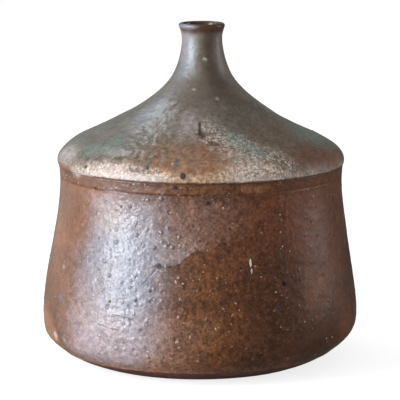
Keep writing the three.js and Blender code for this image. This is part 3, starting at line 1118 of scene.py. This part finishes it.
# Patches on the shoulder, the neck and the lip, laid out as those of the drum
THIN_PATCHES_MM = (
    ("ash_olive", 0.8, 30, 106, 14, 6, 0.6, 0.4, 6.0),
    ("ash_brown", 0.7, 58, 98, 26, 9, 0.5, 0.4, 6.0),
)
STAIN_PATCHES_MM = (("ash_stain", 0.35, -37, 96.5, 13, 4.5, 0.6, 0.4, 4.0),)
BREAK_PATCHES_MM = (
    ("ash_red", 0.7, 60, 91, 24, 4.6, 0.6, 0.4, 5.0),
    ("ash_red", 0.6, 3, 97.5, 8, 3.2, 0.5, 0.35, 3.0),
    ("ash_green", 0.65, -47, 97.5, 5, 2.2, 0.6, 0.5, 2.5),
    ("ash_green", 0.65, -57, 94.5, 7, 2.0, 0.6, 0.5, 2.5),
    ("ash_green", 0.65, 76, 97, 12, 4.0, 0.6, 0.5, 2.5),
)
# Of these, the lilac patch at -38 degrees and the pale patch at -52 degrees on the neck, and the lilac patch
# on the shoulder at -52 degrees, are painted highlights
NECK_PATCHES_MM = (
    ("neck_brown", 0.9, 30, 130, 28, 13, 0.6, 0.3, 5.0),
    ("ash_mauve", 0.6, 62, 131, 30, 11, 0.5, 0.2, 5.0),
    ("lilac_film_and_highlight", 0.38, -38, 131, 27, 12, 0.6, 0.3, 5.0),
    ("pale_film_and_sheen", 0.3, -52, 135, 28, 7, 0.6, 0.2, 4.0),
    ("ash_mauve", 0.4, 2, 113, 50, 9, 0.7, 0.5, 6.0),
    ("neck_brown", 0.6, 10, 118, 50, 9, 0.7, 0.4, 6.0),
    ("pale_film_and_sheen", 0.28, -8.5, 107.4, 7, 2.6, 0.8, 0.5, 2.5),
    ("pale_film_and_sheen", 0.25, -9, 103.2, 6, 2.4, 0.8, 0.5, 2.5),
    ("lilac_film_and_highlight", 0.35, -52, 109.5, 12, 5.0, 0.9, 0.4, 4.0),
)
EDGE_PATCHES_MM = (
    ("ash_white", 0.4, -37, 89.2, 8, 2.2, 0.7, 0.5, 2.5),
    ("ash_slate", 0.65, -24.5, 89.3, 4.4, 0.9, 0.5, 0.4, 1.6),
    ("ash_slate", 0.65, -22, 92, 1.6, 1.8, 0.5, 0.4, 1.6),
    ("ash_slate", 0.65, -10, 92.5, 1.2, 2.2, 0.5, 0.4, 1.6),
)
MARK_PATCHES_MM = (
    ("dark_mark_and_shade", 0.8, 0.9, 101.8, 3.0, 1.1, 0.7, 0.5, 1.6),
    ("dark_mark_and_shade", 0.65, 6.8, 98.9, 2.6, 0.7, 0.7, 0.4, 1.5),
)
# The first of these is a painted highlight along the front of the lip
NECK_SPOTS_MM = (
    ("lilac_film_and_highlight", 0.5, -40, 143.8, 30, 0.9, 0.6, 0.1, 3.0),
    ("ash_olive", 0.7, 12.5, 128.4, 9, 1.0, 0.6, 0.2, 1.5),
    ("ash_white", 0.42, 11.8, 130, 5.5, 0.7, 0.9, 0.5, 1.5),
    ("ash_white", 0.42, 20.9, 114.4, 2.2, 0.5, 0.9, 0.5, 1.5),
    ("ash_white", 0.42, -9, 118, 2.6, 0.4, 0.9, 0.5, 1.5),
)


def ash_glaze(name):
    """Wood-ash glaze on shoulder, neck and lip: mottled grey, green where it pooled, pale at the edge."""
    look = bpy.context.scene.vase_glaze
    g = Glaze(name)
    sandy = g.step(g.height, 102.0, 120.0, 1.0, 0.35)
    g.colour = g.mix(g.cloud(15, 0.3, 0.7, 3.0), rgba(look.ash_grey), rgba(look.ash_olive))
    tan = g.times(g.patch(-6, 90, 25, 9.5, 0.6, 0.45, 4.0), g.cloud(3.5, 0.3, 0.6, 2.0, 0.6, 0.5, 1.0))
    g.lay(tan, "ash_tan", 0.9)
    g.lay(g.times(g.cloud(3.4, 0.5, 0.72, 3.0, 0.65), sandy), "ash_mauve", 0.6)
    g.lay(g.times(g.cloud(4.6, 0.5, 0.72, 3.0, 0.65), sandy), "ash_brown", 0.6)
    g.lay(g.times(g.cloud(5.5, 0.54, 0.76, 3.0, 0.65), sandy), "ash_green", 0.4)
    g.lay_patches(THIN_PATCHES_MM)
    stained = g.times(g.cloud(3.0, 0.46, 0.66, 3.0, 0.65), g.patch(-34, 96, 27, 9, 0.6, 0.4, 4.0))
    g.lay(stained, "ash_stain", 0.85)
    g.lay_patches(STAIN_PATCHES_MM)
    left_dots = g.times(g.specks(2.6, 0.4, 0.5), g.patch(-20, 95, 24, 8, 0.5, 0.3, 5.0))
    g.lay(left_dots, "ash_pale", 0.6)
    g.lay_patches(BREAK_PATCHES_MM)
    aside = g.math("ABSOLUTE", g.angle)
    sides = g.step(aside, 62.0, 86.0)
    sides = g.times(sides, g.step(aside, 98.0, 125.0, 1.0, 0.0), g.step(g.height, 90.0, 94.0))
    g.lay(g.times(sides, g.step(g.height, 110.0, 120.0, 1.0, 0.0)), "ash_green", 0.4)
    g.lay_patches(NECK_PATCHES_MM)
    g.shade(g.curve(g.angle, ASH_DEPTH))

    # The diagonal run of green and pale crystals at the right of the front
    run = g.streak(*RUN_MM, 4.4, SHOULDER_MM_PER_DEGREE, 0.7, 0.4, 2.5)
    pool = g.streak(*POOL_MM, 2.2, SHOULDER_MM_PER_DEGREE, 0.7, 0.5, 2.5)
    g.lay(pool, "ash_green", 0.7)
    fine = g.plus(g.specks(0.95, 0.34, 0.8, 0.7), g.cloud(0.9, 0.48, 0.62, 2.0, 0.7), clamp=True)
    speckled_run = g.times(run, g.cloud(2.5, 0.3, 0.6, 2.0, 0.6, 0.4, 1.0), fine)
    g.lay(speckled_run, "ash_pale", 0.7)

    # Pale ash along the edge: crystals above, a smooth line below, golden at the middle of the front
    height = g.plus(g.height, g.wander(4.0, 0.9))
    below_top = g.step(g.minus(height, g.curve(g.angle, ASH_TOP_MM)), -3.5, 0.8, 1.0, 0.0)
    dense = g.times(below_top, g.step(g.angle, -64.0, -44.0, 0.25, 1.0), g.step(g.angle, -68.0, -60.0))
    golden = g.patch(-1, 88, 11, 8, 0.6, 0.3, 4.0)
    crystal = g.mix(golden, rgba(look.ash_pale), rgba(look.ash_gold))
    blush = g.times(dense, g.cloud(3.0, 0.3, 0.65, 2.0, 0.6, 0.35, 1.0))
    g.lay(blush, "ash_blush", 0.75)
    g.lay(g.times(dense, fine), crystal, 0.9)
    heaped = g.times(g.patch(19, 89.8, 9, 4.2, 0.7, 0.5, 3.0), g.cloud(1.0, 0.42, 0.6, 2.0, 0.7))
    g.lay(heaped, "ash_pale", 0.6)
    # Pale line on the edge, partly a painted highlight at the left of the front
    line = g.times(g.step(height, 86.4, 88.0, 1.0, 0.0), g.curve(g.angle, ASH_LINE_AND_HIGHLIGHT))
    line_colour = g.mix(golden, rgba(look.ash_white), rgba(look.ash_tan))
    g.lay(line, line_colour, 0.75)
    side = g.times(g.patch(-72, 90.6, 10, 3.4, 0.5, 0.3, 4.0), g.cloud(4.0, 0.3, 0.7, 2.0, 0.5, 0.5, 1.0))
    g.lay(side, "ash_white", 0.52)
    g.lay_patches(EDGE_PATCHES_MM)

    # Dark marks by the middle of the front
    mark = g.streak(*MARK_MM, 0.75, SHOULDER_MM_PER_DEGREE, 0.8, 0.35, 1.2)
    g.lay(mark, "dark_mark_and_shade", 0.85)
    g.lay_patches(MARK_PATCHES_MM)
    g.lay_iron_spots(above_mm=85)

    # Brown where the glaze ran off: under the shoulder's edge and under the lip. The dark band on the edge's
    # underside is partly painted shade
    ragged = g.plus(g.height, g.wander(3.0, 0.2))
    # Dark glaze and painted shade on the underside of the shoulder's edge
    joint = g.times(g.step(ragged, 85.0, 85.7, 1.0, 0.0), g.step(g.angle, -50.0, -44.0))
    g.lay(joint, "iron_dark", 0.85)
    under_edge = g.step(ragged, 86.4, 87.6, 1.0, 0.0)
    bare = g.times(under_edge, g.step(g.angle, -95.0, -80.0), g.step(g.angle, -64.0, -61.5, 1.0, 0.0))
    g.lay(bare, "iron_warm", 0.9)
    g.lay(g.step(ragged, 140.0, 142.0), "lip_brown", 0.9)
    g.lay_patches(NECK_SPOTS_MM)
    g.shade(g.mottle(1.1, 0.2, sandy), g.mottle(1.9, 0.17, sandy))
    relief = g.plus(fine_relief(g, 0.08, 0.08), g.times(g.times(dense, fine), 0.07))

    # Gloss: dull where the ash is dense, at both sides of the edge and on the neck
    rough = g.plus(g.times(dense, 0.16), g.step(g.height, 115.0, 125.0, 0.04, 0.15))
    rough = g.minus(rough, g.step(g.height, 141.0, 142.5, 0.0, 0.15))
    left_edge = g.patch(-80, 86.5, 24, 4, 0.5, 0.1)
    dull = g.most(g.patch(-66, 98, 26, 8, 0.6, 0.3, 5.0), left_edge, g.patch(62, 90, 32, 6, 0.5, 0.2, 5.0))
    dull = g.most(dull, g.times(g.patch(-42, 105, 20, 9, 0.6, 0.2, 5.0), 0.2))
    rough = g.plus(rough, g.times(dull, 0.2))
    return g.fired(g.plus(rough, look.roughness), relief)


def bare_clay(name):
    """Toasted bare clay of the foot and the floor, matt and grainy."""
    g = Glaze(name)
    g.colour = rgba(bpy.context.scene.vase_glaze.bare_clay)
    g.lay(g.cloud(5.0, 0.35, 0.7, 3.0), "iron_dark", 0.4)
    grit = g.specks(2.2, 0.25, 0.35)
    g.lay(grit, "grit", 0.3)
    g.shade(g.mottle(1.1, 0.25), g.mottle(2.6, 0.15))
    grain = g.times(g.noise(g.place, 0.6, 3.0, 0.7, 21.0), 0.12)
    return g.fired(0.62, g.plus(grain, g.times(grit, 0.06)))


def speck_glaze(name, swatch, roughness):
    """A single small mineral: its colour with a little cloudiness."""
    g = Glaze(name)
    darker = tuple(0.42 * part for part in swatch)
    g.colour = g.mix(g.cloud(3.0, 0.38, 0.6), rgba(swatch), rgba(darker))
    g.shade(g.mottle(0.8, 0.2))
    return g.fired(roughness, g.times(g.noise(g.place, 0.3, 1.0, 0.5, 5.0), 0.02))


# Grit and iron on the surface

# The search for the skin starts outside the pot, this far from its axis
SEARCH_START = 200 * MM
# Scattered grit: how many grains, their size in millimetres as least and spread, and their heights
GRIT_COUNT = 850
GRIT_SIZE_MM = (0.34, 0.85)
GRIT_HEIGHTS_MM = (7, 84)
# How tall a grain is for its width
GRIT_STRETCH = (0.7, 1.4)
# Angles round which some of the grit gathers, how closely, and what share of it
GRIT_SEAMS = (-14.0, 4.0, 138.0, -112.0)
SEAM_SPREAD = 8
SEAM_SHARE = 0.35
# Scattered iron beads, away from the front
BEAD_COUNT = 40
BEAD_SIZE_MM = (0.6, 1.3)
BEAD_HEIGHTS_MM = (8, 100)
BEAD_ANGLES = (60, 180)
# How far scattered grit stands out of the glaze at the least, and how much more for its width
GRIT_PROUD_MM = 0.1
GRIT_PROUD_SHARE = 0.08
# How far placed grains, placed beads and scattered beads stand out of the glaze
GRAIN_PROUD_MM = 0.2
SPOT_PROUD_MM = 0.07
BEAD_PROUD_MM = 0.08
# Width of a placed bead for the half width of its spot
SPOT_SHARE = 1.5


def skin_of(*names):
    """Search trees of the finished pieces, to set small things on."""
    depsgraph = bpy.context.evaluated_depsgraph_get()
    return [BVHTree.FromObject(bpy.data.objects[name], depsgraph) for name in names]


def on_skin(skins, angle, height_mm):
    """Place and outward direction on the outside of the pot, at an angle and a height."""
    turn = math.radians(angle)
    out = Vector((math.sin(turn), -math.cos(turn), 0.0))
    start = out * SEARCH_START + Vector((0.0, 0.0, height_mm * MM))
    hits = [skin.ray_cast(start, -out) for skin in skins]
    hits = [hit for hit in hits if hit[0] is not None]
    if not hits:
        raise RuntimeError(f"nothing to set a grain on at {angle} degrees, {height_mm} mm")
    return min(hits, key=lambda hit: hit[3])[:2]


def inlaid(name, grains, glaze, unevenness, sides, rings):
    """One piece of small grains. A grain is (place, normal, along, half size)."""
    places, *marks = zip(*grains)
    inputs = {"Unevenness": unevenness, "Seed": float(bpy.context.scene.vase_surface.seed), "Glaze": glaze}
    inputs |= {"Sides": sides, "Rings": rings}
    tree = bpy.data.node_groups.get("inlaid_grains") or inlay_tree()
    piece = grown(name, tree, places, dict(zip(("normal", "along", "half_size"), marks)), inputs)
    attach(piece, BODY)


def grain_at(skins, angle, height_mm, across_mm, tall_mm, proud_mm, tilt=0.0):
    """A grain of that size at a place, its long way turned by tilt from level."""
    place, normal = on_skin(skins, angle, height_mm)
    level = Vector((0, 0, 1)).cross(normal).normalized()
    upward = normal.cross(level)
    turn = math.radians(tilt)
    along = level * math.cos(turn) + upward * math.sin(turn)
    half = (across_mm / 2 * MM, tall_mm / 2 * MM, proud_mm * MM)
    return (place, normal, along, half)


def placed(skins, table):
    """Grains of a table of (angle, height, across, tall, tilt)."""
    grains = []
    for angle, height, across, tall, tilt in table:
        grains.append(grain_at(skins, angle, height, across, tall, GRAIN_PROUD_MM, tilt))
    return grains


# Pale grains that show at the front, as (angle, height, across, tall, tilt)
GRAINS_MM = (
    (11.6, 31.4, 0.8, 2.0, -50), (2.1, 30.0, 1.0, 2.1, -22), (-12.6, 34.6, 1.3, 1.4, 0),
    (5.5, 25.9, 1.0, 1.4, 0), (-3.4, 22.7, 0.9, 2.3, -18), (-8.7, 44.8, 1.0, 1.8, 20),
    (-3.3, 48.1, 0.8, 1.1, 0), (6.2, 46.5, 0.9, 1.2, 0), (9.4, 44.4, 0.7, 0.7, 0), (0.0, 58.2, 0.9, 0.9, 0),
    (2.8, 57.6, 0.9, 0.9, 0), (-11.8, 60.4, 0.7, 1.3, 20), (-14.4, 43.5, 1.1, 1.1, 0),
    (-15.4, 45.3, 0.9, 1.9, -15), (-15.3, 63.1, 1.0, 1.7, -20), (-7.3, 18.0, 1.1, 0.9, 0),
    (-2.6, 14.2, 1.0, 0.8, 0), (-0.5, 15.1, 1.0, 0.8, 0), (-15.4, 27.1, 1.1, 1.2, 0),
    (-18.7, 26.8, 1.1, 1.2, 0), (22.8, 46.0, 0.8, 0.8, 0), (28.3, 39.3, 1.0, 0.9, 0),
    (32.7, 36.4, 1.4, 0.8, 0), (29.4, 24.9, 0.9, 1.0, 0), (32.3, 23.3, 1.1, 0.8, 0),
    (32.3, 63.4, 1.0, 1.2, 0), (-34.1, 34.8, 1.4, 1.5, 0), (-19.8, 49.0, 1.3, 1.1, 0),
    (-20.5, 47.4, 1.0, 1.5, 0), (-27.8, 18.8, 1.7, 1.1, -20), (-46.2, 11.7, 1.3, 1.3, 0),
    (-46.7, 43.0, 1.1, 1.3, 0), (-44.6, 27.6, 1.2, 1.6, 0), (-42.9, 31.6, 1.1, 1.1, 0),
    (-46.8, 60.3, 1.0, 1.2, 0), (-37.9, 38.5, 1.2, 1.1, 0), (-25.6, 82.1, 1.0, 0.9, 0),
)
# The palest slivers, which stand out most
SLIVERS_MM = (
    (19.0, 52.0, 1.0, 3.8, 0), (19.3, 48.5, 0.9, 2.4, -3),
    (15.1, 87.8, 1.0, 0.9, 0), (11.8, 130.2, 1.4, 0.9, -8),
)


# Steps of the work


class VASE_OT_foot_ring(bpy.types.Operator):
    """Turn the bare foot ring"""

    bl_idname = "vase.foot_ring"
    bl_label = "Foot ring"

    def execute(self, context):
        form = context.scene.vase_form
        piece = turned("turned_foot", foot_section(form), form.columns, bare_clay("toasted_clay"))
        dress(piece, "foot_ring")
        return {"FINISHED"}


class VASE_OT_floor(bpy.types.Operator):
    """Lay the floor of the pot"""

    bl_idname = "vase.floor"
    bl_label = "Floor"

    def execute(self, context):
        form = context.scene.vase_form
        section = floor_section(form)
        piece = turned("pot_floor", section, form.columns // 4, bare_clay("floor_clay"), closed=False)
        dress(piece, "floor")
        return {"FINISHED"}


class VASE_OT_drum(bpy.types.Operator):
    """Throw the drum"""

    bl_idname = "vase.drum"
    bl_label = "Drum"

    def execute(self, context):
        form = context.scene.vase_form
        piece = turned("thrown_drum", drum_section(form), form.columns, iron_glaze("iron_glaze"))
        dress(piece, "body_wall")
        return {"FINISHED"}


class VASE_OT_seam(bpy.types.Operator):
    """Lute the seam band between drum and shoulder"""

    bl_idname = "vase.seam"
    bl_label = "Seam band"

    def execute(self, context):
        form = context.scene.vase_form
        piece = turned("luted_band", seam_section(form), form.columns, iron_glaze("seam_glaze"))
        dress(piece, "seam_band")
        return {"FINISHED"}


class VASE_OT_shoulder(bpy.types.Operator):
    """Throw the shoulder"""

    bl_idname = "vase.shoulder"
    bl_label = "Shoulder"

    def execute(self, context):
        form = context.scene.vase_form
        piece = turned("thrown_shoulder", shoulder_section(form), form.columns, ash_glaze("ash_glaze"))
        dress(piece, "shoulder")
        return {"FINISHED"}


class VASE_OT_neck(bpy.types.Operator):
    """Draw up the neck"""

    bl_idname = "vase.neck"
    bl_label = "Neck"

    def execute(self, context):
        form = context.scene.vase_form
        piece = turned("drawn_neck", neck_section(form), form.neck_columns, ash_glaze("neck_glaze"))
        dress(piece, "neck")
        return {"FINISHED"}


class VASE_OT_lip(bpy.types.Operator):
    """Roll the lip"""

    bl_idname = "vase.lip"
    bl_label = "Lip"

    def execute(self, context):
        form = context.scene.vase_form
        piece = turned("rolled_lip", lip_section(form), form.neck_columns, ash_glaze("lip_glaze"))
        dress(piece, "lip")
        return {"FINISHED"}


class VASE_OT_grit(bpy.types.Operator):
    """Set pale feldspar grit in the glaze"""

    bl_idname = "vase.grit"
    bl_label = "Grit"

    def execute(self, context):
        surface = context.scene.vase_surface
        look = context.scene.vase_glaze
        skins = skin_of("thrown_drum", "luted_band", "thrown_shoulder", "drawn_neck")
        pick = random.Random(surface.seed)
        grains = []
        least, spread = GRIT_SIZE_MM
        for _ in range(GRIT_COUNT):
            size = least + spread * pick.random() ** 3
            tall = size * pick.uniform(*GRIT_STRETCH)
            angle = pick.uniform(-180, 180)
            if pick.random() < SEAM_SHARE:
                angle = pick.gauss(pick.choice(GRIT_SEAMS), SEAM_SPREAD)
            height = pick.uniform(*GRIT_HEIGHTS_MM)
            proud = GRIT_PROUD_MM + GRIT_PROUD_SHARE * size
            grains.append(grain_at(skins, angle, height, size, tall, proud, pick.uniform(0, 90)))
        grains += placed(skins, GRAINS_MM)
        glaze = speck_glaze("feldspar", look.grit, 0.55)
        inlaid("feldspar_grit", grains, glaze, unevenness=0.15, sides=7, rings=5)
        slivers = placed(skins, SLIVERS_MM)
        glaze = speck_glaze("pale_feldspar", look.ash_pale, 0.4)
        inlaid("pale_slivers", slivers, glaze, unevenness=0.1, sides=12, rings=9)
        return {"FINISHED"}


class VASE_OT_iron(bpy.types.Operator):
    """Set melted iron beads in the glaze"""

    bl_idname = "vase.iron"
    bl_label = "Iron beads"

    def execute(self, context):
        surface = context.scene.vase_surface
        look = context.scene.vase_glaze
        skins = skin_of("thrown_drum", "luted_band", "thrown_shoulder")
        pick = random.Random(surface.seed + 1)
        beads = []
        for angle, height, half in IRON_SPOTS_MM:
            size = SPOT_SHARE * half
            beads.append(grain_at(skins, angle, height, size, size, SPOT_PROUD_MM))
        least, spread = BEAD_SIZE_MM
        for _ in range(BEAD_COUNT):
            size = least + spread * pick.random() ** 3
            angle = pick.choice((-1, 1)) * pick.uniform(*BEAD_ANGLES)
            beads.append(grain_at(skins, angle, pick.uniform(*BEAD_HEIGHTS_MM), size, size, BEAD_PROUD_MM))
        glaze = speck_glaze("iron_bead", look.iron_bead, 0.38)
        inlaid("iron_beads", beads, glaze, unevenness=0.5, sides=18, rings=8)
        return {"FINISHED"}


# The stage

# Sizes of the stage in metres: floor, tent, and the cloth that only the glaze mirrors
FLOOR_HALF = 4.0
TENT_SIDES = 32
TENT_RADIUS = 2.0
TENT_HEIGHT = 2.2
TENT_GAP = 1 * MM
CLOTH_HALF = 2.0
CLOTH_HEIGHT = 0.6 * MM
# Width of the camera's sensor, and how near it sees, in metres
SENSOR_MM = 36
NEAREST = 0.05


def lamp(name, azimuth, elevation, distance, width, height, power, colour=(1.0, 1.0, 1.0)):
    """A soft rectangular light that looks at the middle of the pot."""
    turn = math.radians(azimuth)
    rise = math.radians(elevation)
    aim = Vector((0.0, 0.0, VASE_TOP / 2))
    way = Vector((math.sin(turn) * math.cos(rise), -math.cos(turn) * math.cos(rise), math.sin(rise)))
    data = bpy.data.lights.new(name, "AREA")
    data.shape = "RECTANGLE"
    data.size = width
    data.size_y = height
    data.energy = power
    data.color = colour
    light = bpy.data.objects.new(name, data)
    light.location = aim + way * distance
    light.rotation_euler = (-way).to_track_quat("-Z", "Y").to_euler()
    light.visible_camera = False
    bpy.context.scene.collection.objects.link(light)


def seen_share(g):
    """1 for what the camera sees, straight or by a mirror or glass, and 0 for soft light."""
    path = g.node("ShaderNodeLightPath").outputs
    mirrored = g.most(path["Is Glossy Ray"], path["Is Transmission Ray"])
    return g.most(path["Is Camera Ray"], mirrored)


def grey(level):
    """A grey of that brightness."""
    return (level, level, level, 1.0)


def stage_mesh(name, vertices, faces, material, only_mirrored=False):
    """A stage object of a few faces. One that is only mirrored shows in the glaze and nowhere else."""
    mesh = bpy.data.meshes.new(name)
    mesh.from_pydata(vertices, [], faces)
    mesh.materials.append(material)
    made = bpy.data.objects.new(name, mesh)
    bpy.context.scene.collection.objects.link(made)
    if only_mirrored:
        made.visible_camera = False
        made.visible_diffuse = False
        made.visible_transmission = False
        made.visible_shadow = False


def sheet(name, half, height, material, only_mirrored=False):
    """A square level sheet."""
    corners = [(-half, -half, height), (half, -half, height), (half, half, height), (-half, half, height)]
    stage_mesh(name, corners, [(0, 1, 2, 3)], material, only_mirrored)


class VASE_OT_stage(bpy.types.Operator):
    """Set the camera, the lights, the pale floor and the soft tent"""

    bl_idname = "vase.stage"
    bl_label = "Stage"

    def execute(self, context):
        stage = context.scene.vase_stage
        scene = context.scene
        scene.view_settings.view_transform = "Standard"
        self.place_camera(scene, stage)
        # Each lamp has its azimuth, elevation and distance, then its width and height
        lamp("window", -64, 11, 1.2, 0.38, 1.0, stage.window_power, stage.daylight)
        lamp("window_glow", -67, 12, 1.25, 1.3, 1.1, stage.glow_power, stage.daylight)
        lamp("high_window", -144, 48, 1.2, 0.28, 0.28, stage.high_power, stage.daylight)
        lamp("side_light", 98, 14, 1.2, 0.5, 0.8, stage.side_power)
        self.light_world(scene, stage)
        self.lay_floor()
        self.hang_tent(stage)
        self.lay_cloth(stage)
        return {"FINISHED"}

    def place_camera(self, scene, stage):
        """The camera at the photograph's angle."""
        rise = stage.camera_elevation
        aim = Vector((0.0, 0.0, stage.aim_height))
        way = Vector((0.0, -math.cos(rise), math.sin(rise)))
        data = bpy.data.cameras.new("camera")
        data.sensor_width = SENSOR_MM
        data.lens = stage.lens
        data.clip_start = NEAREST
        camera = bpy.data.objects.new("camera", data)
        camera.location = aim + way * stage.camera_distance
        camera.rotation_euler = (-way).to_track_quat("-Z", "Y").to_euler()
        scene.collection.objects.link(camera)
        scene.camera = camera

    def light_world(self, scene, stage):
        """A dim room that the camera sees as plain white."""
        world = bpy.data.worlds.new("room")
        world.use_nodes = True
        scene.world = world
        world.node_tree.nodes.clear()
        g = Graph(world.node_tree)
        colour = g.mix(seen_share(g), grey(stage.room_level), WHITE)
        light = g.node("ShaderNodeBackground", {"Color": colour, "Strength": 1.0})
        g.node("ShaderNodeOutputWorld", {"Surface": light.outputs[0]})

    def lay_floor(self):
        """A wide white floor that keeps a faint shadow."""
        material = empty_material("pale_floor")
        g = Graph(material.node_tree)
        seen = seen_share(g)
        matt = g.node("ShaderNodeBsdfDiffuse", {"Color": g.mix(seen, grey(0.8), grey(0.5))})
        white = g.white_glow(g.times(seen, 0.78))
        g.close(g.node("ShaderNodeAddShader", {0: matt.outputs[0], 1: white}).outputs[0])
        sheet("floor_sheet", FLOOR_HALF, 0.0, material)

    def hang_tent(self, stage):
        """A grey tent round the pot, unseen by the camera: lighter at the left, darker at the right."""
        material = empty_material("tent_cloth")
        g = Graph(material.node_tree)
        across = g.parts(g.object_place())[0]
        g.close(g.white_glow(g.step(across, -1.6, 1.0, stage.room_level, stage.room_level * 0.3)))
        turns = [math.tau * i / TENT_SIDES for i in range(TENT_SIDES)]
        ring = [(TENT_RADIUS * math.cos(turn), TENT_RADIUS * math.sin(turn)) for turn in turns]
        vertices = [(x, y, TENT_GAP) for x, y in ring] + [(x, y, TENT_HEIGHT) for x, y in ring]
        faces = []
        for i in range(TENT_SIDES):
            after = (i + 1) % TENT_SIDES
            faces.append((i, after, TENT_SIDES + after, TENT_SIDES + i))
        faces.append(tuple(range(TENT_SIDES, 2 * TENT_SIDES)))
        stage_mesh("soft_tent", vertices, faces, material, only_mirrored=True)

    def lay_cloth(self, stage):
        """What the glaze mirrors of the floor: dim, but bright at the left where the window falls."""
        material = empty_material("mirrored_cloth")
        g = Graph(material.node_tree)
        across, deep, _ = g.parts(g.object_place())
        pool = g.times(g.step(across, -0.5, -0.02, 1.0, 0.0), g.step(deep, -0.15, 0.2, 1.0, 0.3))
        g.close(g.white_glow(g.plus(g.times(pool, stage.window_pool), stage.room_level * 0.25)))
        sheet("mirrored_floor", CLOTH_HALF, CLOTH_HEIGHT, material, only_mirrored=True)


class VASE_PT_panel(bpy.types.Panel):
    """Lists the steps of the work and their settings"""

    bl_idname = "VASE_PT_panel"
    bl_label = "Bud vase"
    bl_space_type = "VIEW_3D"
    bl_region_type = "UI"
    bl_category = "Bud vase"

    def draw(self, context):
        layout = self.layout
        for step in STEPS:
            layout.operator(step.bl_idname)
        for group_name, group_type in SETTINGS:
            for key in group_type.__annotations__:
                layout.prop(getattr(context.scene, group_name), key)


STEPS = (
    VASE_OT_stage,
    VASE_OT_foot_ring,
    VASE_OT_floor,
    VASE_OT_drum,
    VASE_OT_seam,
    VASE_OT_shoulder,
    VASE_OT_neck,
    VASE_OT_lip,
    VASE_OT_grit,
    VASE_OT_iron,
)
SETTINGS = (
    ("vase_form", VaseForm),
    ("vase_surface", VaseSurface),
    ("vase_glaze", VaseGlaze),
    ("vase_stage", VaseStage),
)


def register():
    """Registers the settings, the steps and the panel."""
    for key, group in SETTINGS:
        bpy.utils.register_class(group)
        setattr(bpy.types.Scene, key, PointerProperty(type=group))
    for step in STEPS:
        bpy.utils.register_class(step)
    bpy.utils.register_class(VASE_PT_panel)


def unregister():
    """Takes away what register added."""
    bpy.utils.unregister_class(VASE_PT_panel)
    for step in reversed(STEPS):
        bpy.utils.unregister_class(step)
    for key, group in reversed(SETTINGS):
        delattr(bpy.types.Scene, key)
        bpy.utils.unregister_class(group)


def main():
    """Makes the whole scene, step by step."""
    register()
    for step in STEPS:
        family, action = step.bl_idname.split(".")
        getattr(getattr(bpy.ops, family), action)()


if __name__ == "__main__":
    main()
